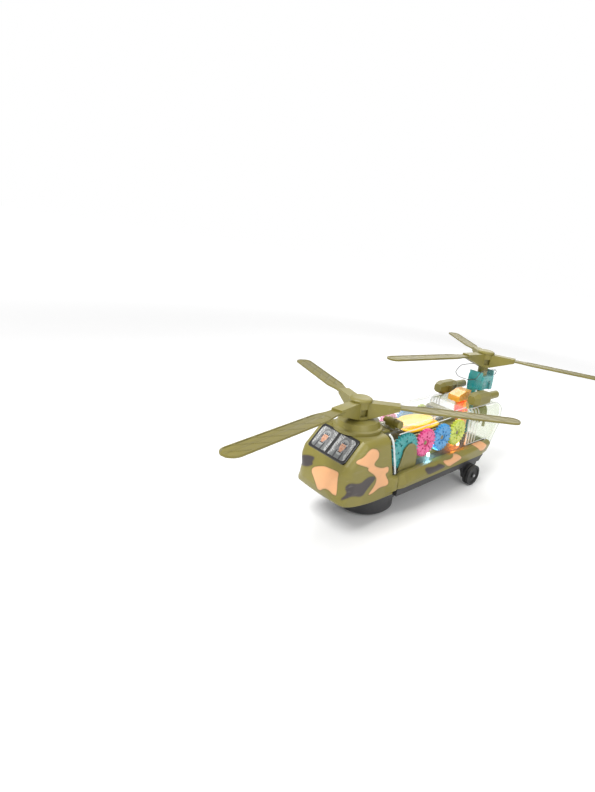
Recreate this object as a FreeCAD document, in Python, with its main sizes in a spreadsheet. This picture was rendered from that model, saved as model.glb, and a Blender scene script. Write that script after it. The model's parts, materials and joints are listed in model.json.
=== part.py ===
import FreeCAD, Part
import math
import os
import Sketcher
from FreeCAD import Vector

# Battery toy: a tandem-rotor helicopter with clear covers over coloured spinning gears.
# Millimetres. Nose +X, port side +Y, up +Z. The origin is on the floor, on the turntable axis.

os.makedirs("parts", exist_ok=True)
doc = FreeCAD.newDocument("toy_helicopter")
sheet = doc.addObject("Spreadsheet::Sheet", "size")
nodes = []

DIMENSIONS = [
    # hull
    ("hull_half", 31.0, "half width of the hull tray"),
    ("flange_half", 36.4, "half width of the flange under the side pods"),
    ("floor_low", 23.0, "underside of the hull"),
    ("floor_top", 25.0, "inside face of the hull floor"),
    ("deck_low", 44.0, "top rim of the hull tray"),
    ("deck_top", 46.0, "top face of the gear deck"),
    ("wall", 2.0, "wall of the hull tray"),
    ("tail_end", 164.0, "tail of the hull, behind the origin"),
    ("nose_half", 32.8, "half width of the nose shell"),
    ("nose_wall", 3.3, "side wall of the nose shell"),
    ("roof", 86.0, "roof of the nose shell"),
    ("screen_top_reach", 38.5, "top edge of the sloped windscreen"),
    ("screen_low_reach", 56.6, "bottom edge of the sloped windscreen"),
    ("screen_low", 67.0, "height of the bottom edge of the windscreen"),
    ("nose_reach", 65.5, "foremost point of the nose"),
    ("roof_corner", 8.0, "corner radius along the roof"),
    ("screen_half", 24.8, "half width of the windscreen panel"),
    ("screen_thick", 0.8, "thickness of the windscreen panel"),
    # clear covers
    ("cover_half", 32.6, "half width of the clear cover"),
    ("cover_wall", 1.2, "wall of the clear covers"),
    ("cover_rise", 90.5, "roof of the clear cover at its rear end"),
    ("cover_rear", 122.0, "rear end of the clear cover"),
    ("tail_half", 30.0, "half width of the clear tail cover"),
    ("tail_reach", 193.5, "rearmost point of the tail"),
    ("pylon_half", 15.5, "half width of the clear pylon"),
    ("pylon_front", 140.0, "front face of the pylon"),
    ("pylon_rear", 196.0, "rear face of the pylon"),
    ("pylon_low_rim", 117.0, "low point of the pylon rim"),
    ("pylon_high_rim", 128.0, "high point of the pylon rim"),
    # rotors
    ("front_mast", 20.4, "front rotor axis, ahead of the origin"),
    ("rear_mast", 179.4, "rear rotor axis, behind the origin"),
    ("front_blades", 109.7, "height of the front blades"),
    ("rear_blades", 142.0, "height of the rear blades"),
    ("front_turn", 14.5, "rest angle of the front rotor"),
    ("rear_turn", 232.2, "rest angle of the rear rotor"),
    ("blade_tip", 150.0, "rotor radius"),
    ("blade_root", 30.0, "start of the blade tongue"),
    ("blade_thick", 2.0, "blade thickness"),
    ("blade_chord", 16.5, "blade width"),
    ("neck_width", 11.0, "blade width beside the arm"),
    ("arm_tip", 36.0, "outer end of a rotor arm"),
    ("arm_width", 10.6, "width of a rotor arm"),
    ("hub_radius", 9.5, "rotor hub radius"),
    ("hub_drop", 13.2, "depth of the hub below the blades"),
    ("hub_rise", 3.0, "height of the hub above the blades"),
    ("cap_radius", 10.5, "radius of the rotor cap"),
    ("cap_height", 3.6, "height of the rotor cap"),
    ("shaft_radius", 2.5, "rotor shaft radius"),
    ("running_gap", 0.08, "radial clearance of a running shaft"),
    # side gears
    ("gear_module", 1.15, "module of the side gears"),
    ("gear_teeth", 24.0, "teeth of the pink, blue and lime gears"),
    ("teal_teeth", 30.0, "teeth of the teal gears"),
    ("gear_height", 66.0, "height of the pink, blue and lime axles"),
    ("teal_height", 64.5, "height of the teal axle"),
    ("pink_axis", 48.5, "pink axle, behind the origin"),
    ("gear_face", 29.0, "outer face of the side gears"),
    ("gear_thick", 4.0, "thickness of a side gear"),
    ("gear_recess", 4.2, "radius of the recess in the gear hub"),
    ("axle_radius", 2.2, "radius of the gear axles"),
    ("frame_half", 21.5, "outer face of the gear frame"),
    ("frame_wall", 2.0, "wall of the gear frame"),
    # lengthwise drive shaft
    ("drive_height", 54.0, "height of the lengthwise shaft"),
    ("drive_radius", 2.0, "radius of the lengthwise shaft"),
    ("pinion_teeth", 8.0, "teeth of the shaft pinions"),
    ("crown_teeth", 16.0, "teeth of the crown gears"),
    ("crown_module", 1.1, "module of pinions and crown gears"),
    # ground gear
    ("drum_radius", 27.6, "turntable radius"),
    ("drum_low", 2.8, "underside of the turntable"),
    ("drum_top", 22.6, "top face of the turntable"),
    ("spigot_radius", 8.0, "turntable pivot radius"),
    ("drive_wheel", 9.0, "radius of the driving wheels"),
    ("rear_wheel", 12.0, "radius of the rear wheels"),
    ("rear_axle", 130.3, "rear wheel axle, behind the origin"),
    ("rear_axle_radius", 1.6, "radius of the rear axle"),
    # battery bay
    ("door_front", 48.0, "front edge of the battery door, behind the origin"),
    ("door_rear", 108.0, "rear edge of the battery door, behind the origin"),
    ("door_half", 22.0, "half width of the battery door"),
    ("cell_radius", 7.1, "radius of a penlight cell"),
    ("cell_length", 50.0, "length of a penlight cell"),
]

for row, (name, value, _) in enumerate(DIMENSIONS, start=1):
    sheet.set(f"A{row}", name)
    sheet.set(f"B{row}", str(value))
    sheet.setAlias(f"B{row}", name)
doc.recompute()


def val(text):
    """Value of an expression such as size.wall + 1."""
    return float(sheet.evalExpression(text))


def keep(item, name):
    """Name a finished sub-part, so that it is exported."""
    item.Label = name
    nodes.append((name, item))
    return item


def place(item, x="0", y="0", z="0", axis=Vector(0, 0, 1), angle="0"):
    item.Placement = FreeCAD.Placement(Vector(0, 0, 0), FreeCAD.Rotation(axis, val(angle)))
    item.setExpression("Placement.Base.x", x)
    item.setExpression("Placement.Base.y", y)
    item.setExpression("Placement.Base.z", z)


def originPlane(body, role):
    return [plane for plane in body.Origin.OriginFeatures if plane.Role == role][0]


def newBody(name):
    return keep(doc.addObject("PartDesign::Body", name), name)


def newSketch(body, role, offset):
    """Sketch on an origin plane. XY looks along Z, XZ along Y and YZ along X."""
    sketch = body.newObject("Sketcher::SketchObject", "outline")
    sketch.AttachmentSupport = [(originPlane(body, role + "_Plane"), "")]
    sketch.MapMode = "FlatFace"
    sketch.AttachmentOffset = FreeCAD.Placement(Vector(0, 0, val(offset)), FreeCAD.Rotation())
    sketch.setExpression("AttachmentOffset.Base.z", offset)
    return sketch


def arcThrough(start, end, radius, side):
    """Short arc between two points, its centre on the left (+1) or right (-1) of the way."""
    way = end - start
    half = way.Length / 2
    inward = Vector(-way.y, way.x, 0).normalize() * side
    centre = (start + end) / 2 + inward * math.sqrt(max(radius ** 2 - half ** 2, 0))
    middle = centre - inward * radius
    # a sketch holds arcs anticlockwise
    return Part.Arc(start, middle, end) if side > 0 else Part.Arc(end, middle, start)


def outline(body, role, corners, offset="0"):
    """Closed outline. A corner is (x, y), or (x, y, radius, side) where an arc leaves it."""
    sketch = newSketch(body, role, offset)
    points = [Vector(val(corner[0]), val(corner[1]), 0) for corner in corners]
    count = len(points)
    for i, corner in enumerate(corners):
        following = points[(i + 1) % count]
        if len(corner) == 4:
            sketch.addGeometry(arcThrough(points[i], following, val(corner[2]), corner[3]))
        else:
            sketch.addGeometry(Part.LineSegment(points[i], following))
    # an arc keeps its own start and end order, so each joint is matched by position
    ends = [(geometry.StartPoint, geometry.EndPoint) for geometry in sketch.Geometry]
    for i in range(count):
        j = (i + 1) % count
        target = points[j]
        first = 1 if ends[i][0].distanceToPoint(target) < 1e-6 else 2
        second = 1 if ends[j][0].distanceToPoint(target) < 1e-6 else 2
        sketch.addConstraint(Sketcher.Constraint("Coincident", i, first, j, second))
        for kind, value, text in (("DistanceX", target.x, corners[j][0]),
                                  ("DistanceY", target.y, corners[j][1])):
            index = sketch.addConstraint(Sketcher.Constraint(kind, -1, 1, j, second, value))
            sketch.setExpression(f"Constraints[{index}]", text)
    for i, corner in enumerate(corners):
        if len(corner) == 4:
            index = sketch.addConstraint(Sketcher.Constraint("Radius", i, val(corner[2])))
            sketch.setExpression(f"Constraints[{index}]", corner[2])
    return sketch


def circles(body, role, rings, offset="0"):
    """Sketch of circles, each given as (x, y, radius)."""
    sketch = newSketch(body, role, offset)
    for i, (x, y, radius) in enumerate(rings):
        centre = Vector(val(x), val(y), 0)
        sketch.addGeometry(Part.Circle(centre, Vector(0, 0, 1), val(radius)))
        for kind, value, text in (("DistanceX", centre.x, x), ("DistanceY", centre.y, y)):
            index = sketch.addConstraint(Sketcher.Constraint(kind, -1, 1, i, 3, value))
            sketch.setExpression(f"Constraints[{index}]", text)
        index = sketch.addConstraint(Sketcher.Constraint("Radius", i, val(radius)))
        sketch.setExpression(f"Constraints[{index}]", radius)
    return sketch


def box(x0, x1, y0, y1):
    return [(x0, y0), (x1, y0), (x1, y1), (x0, y1)]


def feature(body, kind, sketch, length, middle=False, flip=False):
    """Pad or pocket of a sketch by a length, about its plane when middle is set."""
    made = body.newObject("PartDesign::" + kind, kind.lower())
    made.Profile = sketch
    made.Length = val(length)
    made.setExpression("Length", length)
    made.Midplane = middle
    made.Reversed = flip
    sketch.Visibility = False
    return made


def pad(body, sketch, length, middle=False, flip=False):
    return feature(body, "Pad", sketch, length, middle, flip)


def pocket(body, sketch, length, middle=False, flip=False):
    """Pocket that must take material away."""
    doc.recompute()
    before = body.Shape.Volume
    made = feature(body, "Pocket", sketch, length, middle, flip)
    doc.recompute()
    if body.Shape.Volume > before - 1e-6:
        raise ValueError(body.Label + " pocket cuts nothing")
    return made


def around(body, original, axis, count, full="360"):
    """Polar pattern of one feature about an axis of the body."""
    pattern = body.newObject("PartDesign::PolarPattern", "around")
    pattern.Originals = [original]
    line = [item for item in body.Origin.OriginFeatures if item.Role == axis + "_Axis"][0]
    pattern.Axis = (line, [""])
    pattern.Angle = val(full)
    pattern.Occurrences = int(round(val(count)))
    pattern.setExpression("Occurrences", count)
    body.Tip = pattern
    return pattern


def mirrored(body, originals, role):
    pattern = body.newObject("PartDesign::Mirrored", "mirror")
    pattern.Originals = originals
    pattern.MirrorPlane = (originPlane(body, role + "_Plane"), [""])
    body.Tip = pattern
    return pattern


def softened(body, kind, radius, wanted):
    """Fillet or chamfer on the edges for which wanted(edge) is true."""
    doc.recompute()
    base = body.Tip
    names = [f"Edge{i}" for i, edge in enumerate(base.Shape.Edges, start=1) if wanted(edge)]
    made = body.newObject("PartDesign::" + kind, kind.lower())
    made.Base = (base, names)
    label = "Radius" if kind == "Fillet" else "Size"
    setattr(made, label, val(radius))
    made.setExpression(label, radius)
    body.Tip = made
    return made


def roundedSides(body, role, x, y, radius, offset, length, way=1):
    """Round the edges that run along the sketch normal at the corner (x, y) and its mirror image."""
    corner = [(f"{x} - {way} * {radius}", f"{y} + 1"), (f"{x} + {way}", f"{y} + 1"),
              (f"{x} + {way}", f"{y} - {radius}"), (x, f"{y} - {radius}", radius, way),
              (f"{x} - {way} * {radius}", y)]
    cut = pocket(body, outline(body, role, corner, offset), length, flip=True)
    mirrored(body, [cut], "XZ")


def lofted(body, kind, role, sections):
    """Loft through closed outlines, each given as (offset, corners)."""
    sketches = [outline(body, role, corners, offset) for offset, corners in sections]
    made = body.newObject("PartDesign::" + kind, kind.lower())
    made.Profile = sketches[0]
    made.Sections = sketches[1:]
    made.Ruled = True
    body.Tip = made
    return made


def turned(body, profile):
    """Solid of revolution about Z from an outline in the XZ plane."""
    made = body.newObject("PartDesign::Revolution", "turned")
    made.Profile = outline(body, "XZ", profile)
    made.ReferenceAxis = (made.Profile[0], ["V_Axis"])
    made.Angle = 360
    body.Tip = made
    return made


def primitive(kind, name, **values):
    """Part primitive whose sizes are expressions."""
    item = doc.addObject("Part::" + kind, name)
    for key, text in values.items():
        setattr(item, key, val(text))
        item.setExpression(key, text)
    return item


def fused(items):
    item = doc.addObject("Part::MultiFuse", "fused")
    item.Shapes = items
    return item


# distance of the teal axle ahead of the pink one, from the two pitch circles
TEAL_AHEAD = ("sqrt((0.5 * size.gear_module * (size.gear_teeth + size.teal_teeth))^2"
              " - (size.gear_height - size.teal_height)^2)")

# ------------------------------------------------------------------ hull

def hullTray():
    body = newBody("chassis_tray")
    side = [("57", "size.floor_low + 13"), ("57", "size.floor_low + 9.4"), ("30", "size.floor_low"),
            ("-size.tail_end + 14", "size.floor_low"), ("-size.tail_end", "size.floor_low + 14"),
            ("-size.tail_end", "size.deck_low"), ("0", "size.deck_low"), ("4", "size.floor_low + 13")]
    pad(body, outline(body, "XZ", side), "2 * (size.nose_half - size.nose_wall) - 0.6", middle=True)
    rear = box("-size.tail_end + 0.5", "-4.4", "size.floor_low + 7", "size.deck_low")
    pad(body, outline(body, "XZ", rear), "2 * size.hull_half", middle=True)
    flange = [("-4.4", "size.floor_low"), ("-4.4", "size.floor_low + 7"),
              ("-size.tail_end + 7", "size.floor_low + 7"), ("-size.tail_end + 14", "size.floor_low")]
    pad(body, outline(body, "XZ", flange), "2 * size.flange_half", middle=True)
    inner = [("54", "size.floor_low + 14"), ("54", "size.floor_low + 10.8"), ("29.5", "size.floor_top"),
             ("-size.tail_end + 15", "size.floor_top"),
             ("-size.tail_end + size.wall", "size.floor_low + 15"),
             ("-size.tail_end + size.wall", "size.deck_low + 1"),
             ("1", "size.deck_low + 1"), ("4", "size.floor_low + 14")]
    pocket(body, outline(body, "XZ", inner), "2 * (size.hull_half - 3.6)", middle=True)
    collar = circles(body, "XY", [("0", "0", "size.drum_radius + 2.9"),
                                  ("0", "0", "size.drum_radius + 0.9")], "size.drum_top - 5")
    pad(body, collar, "6")
    legs = [("-size.rear_axle - 17", "size.floor_top"), ("-size.rear_axle - 7", "7"),
            ("-size.rear_axle + 7", "7"), ("-size.rear_axle + 15", "size.floor_top")]
    leg = pad(body, outline(body, "XZ", legs, "-36"), "4.4")
    mirrored(body, [leg], "XZ")
    bore = circles(body, "XZ", [("-size.rear_axle", "size.rear_wheel", "size.rear_axle_radius")])
    pocket(body, bore, "90", middle=True)
    hole = circles(body, "XY", [("0", "0", "size.spigot_radius + size.running_gap")], "20")
    pocket(body, hole, "6", flip=True)
    bay = box("-size.door_rear - 0.15", "-size.door_front + 0.15",
              "-size.door_half - 0.15", "size.door_half + 0.15")
    pocket(body, outline(body, "XY", bay, "20"), "6", flip=True)
    slot = box("-41.2", "-34.8", "-5.5", "5.5")
    pocket(body, outline(body, "XY", slot, "20"), "6", flip=True)


def batteryBay():
    door = newBody("battery_door")
    plate = box("-size.door_rear", "-size.door_front", "-size.door_half", "size.door_half")
    pad(door, outline(door, "XY", plate, "size.floor_low"), "size.wall")
    heads = circles(door, "XY", [("-size.door_front - 4", "16", "2.3"),
                                 ("-size.door_front - 4", "-16", "2.3")], "size.floor_low")
    pocket(door, heads, "1.1", flip=True)
    stems = circles(door, "XY", [("-size.door_front - 4", "16", "1.2"),
                                 ("-size.door_front - 4", "-16", "1.2")], "size.floor_low")
    pocket(door, stems, "3", flip=True)
    screws = []
    for side in ("1", "-1"):
        head = primitive("Cylinder", "head", Radius="2.2", Height="1")
        stem = primitive("Cylinder", "stem", Radius="1.1", Height="4.5")
        place(head, "-size.door_front - 4", "16 * " + side, "size.floor_low + 0.1")
        place(stem, "-size.door_front - 4", "16 * " + side, "size.floor_low + 0.6")
        screws += [fused([head, stem])]
    keep(doc.addObject("Part::Compound", "door_screws"), "door_screws").Links = screws
    cells = []
    for row in ("-1", "0", "1"):
        cell = primitive("Cylinder", "cell", Radius="size.cell_radius", Height="size.cell_length - 1.2")
        tip = primitive("Cylinder", "tip", Radius="2.6", Height="size.cell_length")
        for item in (cell, tip):
            place(item, "-size.door_front - 5 - size.cell_length", row + " * 15.2",
                  "size.floor_top + 0.2 + size.cell_radius", Vector(0, 1, 0), "90")
        cells += [fused([cell, tip])]
    keep(doc.addObject("Part::Compound", "battery_cells"), "battery_cells").Links = cells


def electronics():
    board = newBody("circuit_board")
    pad(board, outline(board, "XY", box("-146", "-116", "-18", "18"), "size.floor_top"), "1.6")
    pad(board, outline(board, "XY", box("-142", "-128", "-8", "6"), "size.floor_top"), "5")
    motor = newBody("motor")
    can = circles(motor, "YZ", [("0", "79.6", "5.4")], "-107")
    pad(motor, can, "17")
    pad(motor, circles(motor, "YZ", [("0", "79.6", "1")], "-107"), "19")
    foot = box("-4", "4", "74", "77")
    pad(motor, outline(motor, "YZ", foot, "-106"), "15")


def powerSwitch():
    body = newBody("power_switch")
    pad(body, outline(body, "XY", box("-41", "-35", "-3", "1.6"), "size.floor_low - 1.2"), "3.2")
    pad(body, outline(body, "XY", box("-43.4", "-32.6", "-5.2", "3.8"), "size.floor_top + 0.2"), "1.6")
    neck = box("-40.6", "-35.4", "-2.6", "1.2")
    pad(body, outline(body, "XY", neck, "size.floor_top - 0.5"), "1")


# ------------------------------------------------------------------ shells

def noseProfile(inset):
    """Side outline of the nose, moved inwards by inset on the roof, windscreen and front."""
    return [("-4", "size.floor_low + 1.5"), ("7.5", "size.floor_low + 1.8"),
            ("31", "size.floor_low + 3.4"), ("52", "size.floor_low + 8"),
            (f"size.nose_reach - 3 - {inset}", "size.floor_low + 11.5"),
            (f"size.nose_reach - {inset}", "size.floor_low + 19", "56", 1),
            (f"size.screen_low_reach - {inset}", f"size.screen_low - 0.4 * {inset}"),
            (f"size.screen_top_reach - 0.5 * {inset}", f"size.roof - {inset}"),
            ("9", f"size.roof - {inset}"), ("0.6", "size.deck_top")]


def noseShell():
    body = newBody("nose_shell")
    pad(body, outline(body, "XZ", noseProfile("0")), "2 * size.nose_half", middle=True)
    roundedSides(body, "YZ", "size.nose_half", "size.roof", "size.roof_corner", "-10", "90")
    roundedSides(body, "XY", "size.nose_reach", "size.nose_half", "9", "20", "70")
    inner = noseProfile("3")
    inner[0] = ("-5", "size.floor_low")
    inner[1] = ("7.5", "size.floor_low - 1")
    inner[2] = ("31", "size.floor_low - 1")
    inner[3] = ("55", "size.floor_low + 5")
    inner[8] = ("-12", "size.roof - 3")
    inner[9] = ("-12", "size.deck_top")
    pocket(body, outline(body, "XZ", inner), "2 * (size.nose_half - size.nose_wall)", middle=True)
    tongue = pad(body, outline(body, "XY", box("-3.6", "12", "-19", "19"), "size.roof - 3"), "3")
    flare = [("-4", "size.nose_half - 1"), ("-4", "37"), ("3", "35"), ("9", "size.nose_half"),
             ("9", "size.nose_half - 1")]
    port = pad(body, outline(body, "XY", flare, "30"), "15")
    mirrored(body, [port], "XZ")
    bore = circles(body, "XY", [("size.front_mast", "0", "size.shaft_radius + 1")], "70")
    pocket(body, bore, "30", flip=True)
    return tongue


def windscreen():
    body = newBody("windscreen_panel")
    lean = "atan2(size.roof - size.screen_low; size.screen_top_reach - size.screen_low_reach)"
    tall = ("(0.5 * sqrt((size.roof - size.screen_low)^2"
            " + (size.screen_low_reach - size.screen_top_reach)^2) - 1.2)")
    edge = box("-" + tall, tall, "-size.screen_half", "size.screen_half")
    pad(body, outline(body, "XY", edge), "size.screen_thick")
    softened(body, "Fillet", "3", lambda e: abs(e.Vertexes[0].Z - e.Vertexes[-1].Z) > 0.5)
    place(body, "0.5 * (size.screen_top_reach + size.screen_low_reach)", "0",
          "0.5 * (size.roof + size.screen_low)", Vector(0, 1, 0), "-(" + lean + ") / 1 deg - 180")
    return lean


def turret():
    body = newBody("turret_ring")
    turned(body, [("size.shaft_radius + 0.3", "size.roof"), ("22.5", "size.roof"), ("22.5", "89"),
                  ("20.5", "90"), ("19.5", "92.5"), ("18.5", "95", "30", 1), ("11", "96"),
                  ("size.shaft_radius + 0.3", "96")])
    place(body, "size.front_mast")


def sponson(name, side):
    body = newBody(name)
    inner = "size.hull_half + 0.2"
    low = "size.floor_low + 7"

    def section(bottom, outer, crease, top, shoulder):
        corners = [(inner, low), (bottom, low), (outer, crease), (shoulder, top), (inner, top)]
        return [(f"{side} * ({y})", z) for y, z in corners]
    lofted(body, "AdditiveLoft", "YZ", [
        ("-4.2", section("36", "37", "36", "44", "34.5")),
        ("-12", section("38", "40.5", "36", "46.3", "36.5")),
        ("-size.tail_end + 14", section("37.5", "40.5", "43.5", "46.3", "36.5")),
        ("-size.tail_end - 3", section("34", "37.5", "42", "45.5", "35"))])


def gearDeck():
    body = newBody("gear_deck")
    pad(body, outline(body, "XY", box("-size.tail_end + 1", "-4.6", "-30.6", "30.6"),
                      "size.deck_low"), "size.deck_top - size.deck_low")


def archPanel(name, side):
    body = newBody(name)
    shape = [("-34", "size.deck_top"), ("-8", "size.deck_top"), ("-14.2", "66", "9", 1),
             ("-31", "66"), ("-33.4", "60")]
    low = "-30.8" if side > 0 else "29.6"
    pad(body, outline(body, "XZ", shape, low), "1.2")


def clearCover():
    body = newBody("clear_cover")

    def section(width, top, inset):
        half = f"{width} - {inset}"
        low = "size.deck_top + 0.3" if inset == "0" else "size.deck_top - 1"
        radius = f"size.roof_corner - {inset}"
        return [(f"-({half})", low), (half, low),
                (half, f"{top} - size.roof_corner", radius, 1),
                (f"{half} - ({radius})", f"{top} - {inset}"),
                (f"-({half}) + ({radius})", f"{top} - {inset}", radius, 1),
                (f"-({half})", f"{top} - size.roof_corner")]
    lofted(body, "AdditiveLoft", "YZ", [
        ("9.4", section("size.cover_half", "size.roof - 0.3", "0")),
        ("-size.cover_rear", section("size.cover_half", "size.cover_rise", "0"))])
    lofted(body, "SubtractiveLoft", "YZ", [
        ("9.5", section("size.cover_half", "size.roof - 0.3", "size.cover_wall")),
        ("-size.cover_rear - 1", section("size.cover_half", "size.cover_rise", "size.cover_wall"))])
    slant = [("0.2", "size.deck_top - 1"), ("0.2", "size.deck_top"), ("8.6", "size.roof"),
             ("8.6", "size.roof + 8"), ("20", "size.roof + 8"), ("20", "size.deck_top - 1")]
    pocket(body, outline(body, "XZ", slant), "80", middle=True)
    notch = box("-4", "12", "-23", "23")
    pocket(body, outline(body, "XY", notch, "size.roof - 5"), "20", flip=True)


def tailCover():
    body = newBody("tail_cover")
    side = [("-size.cover_rear - 0.2", "size.deck_top + 0.3"), ("-168", "size.deck_top + 0.3"),
            ("-170", "34"), ("-179", "34"), ("-size.tail_reach", "59"),
            ("-size.tail_reach", "76", "15", -1), ("-size.tail_reach + 14", "size.cover_rise"),
            ("-size.cover_rear - 0.2", "size.cover_rise")]
    pad(body, outline(body, "XZ", side), "2 * size.tail_half", middle=True)
    roundedSides(body, "YZ", "size.tail_half", "size.cover_rise", "size.roof_corner", "-200", "90")
    inner = [("-size.cover_rear + 1", "size.deck_top - 1"), ("-169.5", "size.deck_top - 1"),
             ("-171.5", "32"), ("-178", "36"), ("-size.tail_reach + 1.5", "60"),
             ("-size.tail_reach + 1.5", "75", "14", -1),
             ("-size.tail_reach + 14", "size.cover_rise - 1.5"),
             ("-size.cover_rear + 1", "size.cover_rise - 1.5")]
    pocket(body, outline(body, "XZ", inner), "2 * (size.tail_half - 2.4)", middle=True)
    bore = box("-size.pylon_rear + 8", "-size.pylon_front - 1.3", "-11.2", "11.2")
    pocket(body, outline(body, "XY", bore, "80"), "20", flip=True)


def pylonCover():
    body = newBody("pylon_cover")
    side = [("-size.pylon_rear + 10", "size.cover_rise"), ("-size.pylon_front", "size.cover_rise"),
            ("-size.pylon_front", "size.pylon_low_rim", "22", 1),
            ("-size.pylon_front - 16", "size.pylon_high_rim"),
            ("-size.pylon_rear + 8", "size.pylon_high_rim"), ("-size.pylon_rear", "size.pylon_low_rim")]
    pad(body, outline(body, "XZ", side), "2 * size.pylon_half", middle=True)

    roundedSides(body, "XY", "-size.pylon_front", "size.pylon_half", "6", "80", "60")
    roundedSides(body, "XY", "-size.pylon_rear", "size.pylon_half", "6", "80", "60", way=-1)
    room = box("-size.pylon_rear + 2", "-size.pylon_front - 1.3",
               "-size.pylon_half + 1.3", "size.pylon_half - 1.3")
    walls = outline(body, "XY", room, "size.cover_rise - 2")
    pocket(body, walls, "60", flip=True)
    passage = box("-size.pylon_front - 3", "-size.pylon_front + 2", "-8", "8")
    pocket(body, outline(body, "XY", passage, "size.cover_rise - 1"), "15", flip=True)


def enginePod(name, side):
    body = newBody(name)
    section = [("-8", "-4"), ("-4", "-7.6"), ("4", "-7.6"), ("8", "-4"),
               ("8", "4"), ("4", "7.6"), ("-4", "7.6"), ("-8", "4")]
    small = [(f"0.62 * ({y})", f"0.62 * ({z})") for y, z in section]
    lofted(body, "AdditiveLoft", "YZ", [("29", small), ("22", section), ("0", section),
                                        ("-6", small)])
    pad(body, circles(body, "YZ", [("0", "0.5", "4.6")], "-25"), "22")
    bore = circles(body, "YZ", [("0", "0.5", "3.2")], "-25.5")
    pocket(body, bore, "6", flip=True)
    root = "5" if side > 0 else "-9"
    pad(body, outline(body, "XZ", box("4", "18", "-4", "4"), root), "4")
    place(body, "-size.pylon_front - 15", f"{side} * (size.pylon_half + 9)", "99.2")


def tailDoor():
    """Upright fin with a window for the crown gear of the rear rotor."""
    body = newBody("tail_door")
    shape = [("-14", "52.2"), ("-11", "52.2"), ("-11", "66"), ("11", "66"), ("11", "52.2"), ("14", "52.2"),
             ("14", "72", "14.2", 1), ("-14", "72")]
    pad(body, outline(body, "YZ", shape, "-187"), "2.4")


def roofNub():
    """Two-step knob lying across the roof behind the turret, on a low foot."""
    body = newBody("roof_nub")
    pad(body, outline(body, "XY", box("-13", "-7", "8", "20"), "86.8"), "2.4")
    for start, length, radius in (("4.6", "6", "2.9"), ("9.6", "8", "4.1"), ("16.6", "4", "3.3"),
                                  ("19.6", "5", "3.9")):
        round_ = circles(body, "XZ", [("-10", "91", radius)], "-(" + start + ") - " + length)
        pad(body, round_, length)


# ------------------------------------------------------------------ inner works

def gearFrame():
    body = newBody("gear_frame")
    wall = box("-116", "-6", "size.deck_top", "74")
    pad(body, outline(body, "XZ", wall), "2 * size.frame_half", middle=True)
    room = box("-114", "-8", "size.deck_top - 1", "75")
    pocket(body, outline(body, "XZ", room), "2 * (size.frame_half - size.frame_wall)", middle=True)
    pad(body, outline(body, "XY", box("-112", "-84", "-size.frame_half + 1", "size.frame_half - 1"),
                      "72"), "2")
    axles = [(f"-size.pink_axis - {i} * size.gear_module * size.gear_teeth", "size.gear_height",
              "size.axle_radius + size.running_gap") for i in range(3)]
    axles += [("-size.pink_axis + " + TEAL_AHEAD, "size.teal_height", "size.axle_radius + size.running_gap")]
    pocket(body, circles(body, "XZ", axles), "60", middle=True)
    along = circles(body, "YZ", [("0", "size.drive_height", "size.drive_radius + size.running_gap")])
    pocket(body, along, "300", middle=True)


def lightDish():
    body = newBody("light_dish")
    bed = box("-89", "-32", "-size.frame_half", "size.frame_half")
    pad(body, outline(body, "XY", bed, "74"), "1.6")

    def oval(length, width):
        """Eight-point boat outline about the dish centre."""
        turns = [math.radians(22.5 + 45 * i) for i in range(8)]
        return [(f"-61 + {length * math.cos(a):.3f}", f"{width * math.sin(a):.3f}") for a in turns]
    lofted(body, "AdditiveLoft", "XY", [("70.4", oval(15, 7)), ("74", oval(22, 11)),
                                        ("79", oval(27, 14.5))])
    lofted(body, "SubtractiveLoft", "XY", [("72", oval(14, 6)), ("79.1", oval(25.6, 13.1))])


def motorCover():
    body = newBody("motor_cover")
    side = [("-115", "74"), ("-93", "74"), ("-93", "81"), ("-98", "87", "30", 1), ("-108", "87"),
            ("-115", "80")]
    pad(body, outline(body, "XZ", side), "30", middle=True)
    inner = [("-113.6", "73"), ("-90", "73"), ("-90", "85.6"), ("-107.4", "85.6"), ("-113.6", "79.4")]
    pocket(body, outline(body, "XZ", inner), "27", middle=True)


def rearGearbox():
    body = newBody("rear_gearbox")
    wedge = [("-126", "91.4"), ("-150", "91.4"), ("-150", "103"), ("-140", "103"), ("-126", "98")]
    pad(body, outline(body, "XZ", wedge), "15", middle=True)
    foot = box("-152", "-143.2", "size.deck_top", "91.5")
    pad(body, outline(body, "XZ", foot, "4.5"), "3")
    foot2 = box("-152", "-143.2", "size.deck_top", "91.5")
    pad(body, outline(body, "XZ", foot2, "-7.5"), "3")
    bore = circles(body, "XZ", [("-146", "79", "1.5 + size.running_gap")])
    pocket(body, bore, "40", middle=True)


def redGear():
    body = newBody("red_gear")
    rootDisc(body, 20, 1.0, "5.6", "-2.8")
    toothRing(body, 20, 1.0, "5.6", "-2.8")
    pad(body, circles(body, "XZ", [("0", "0", "1.5")]), "17", middle=True)
    place(body, "-146", "0", "79")


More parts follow.
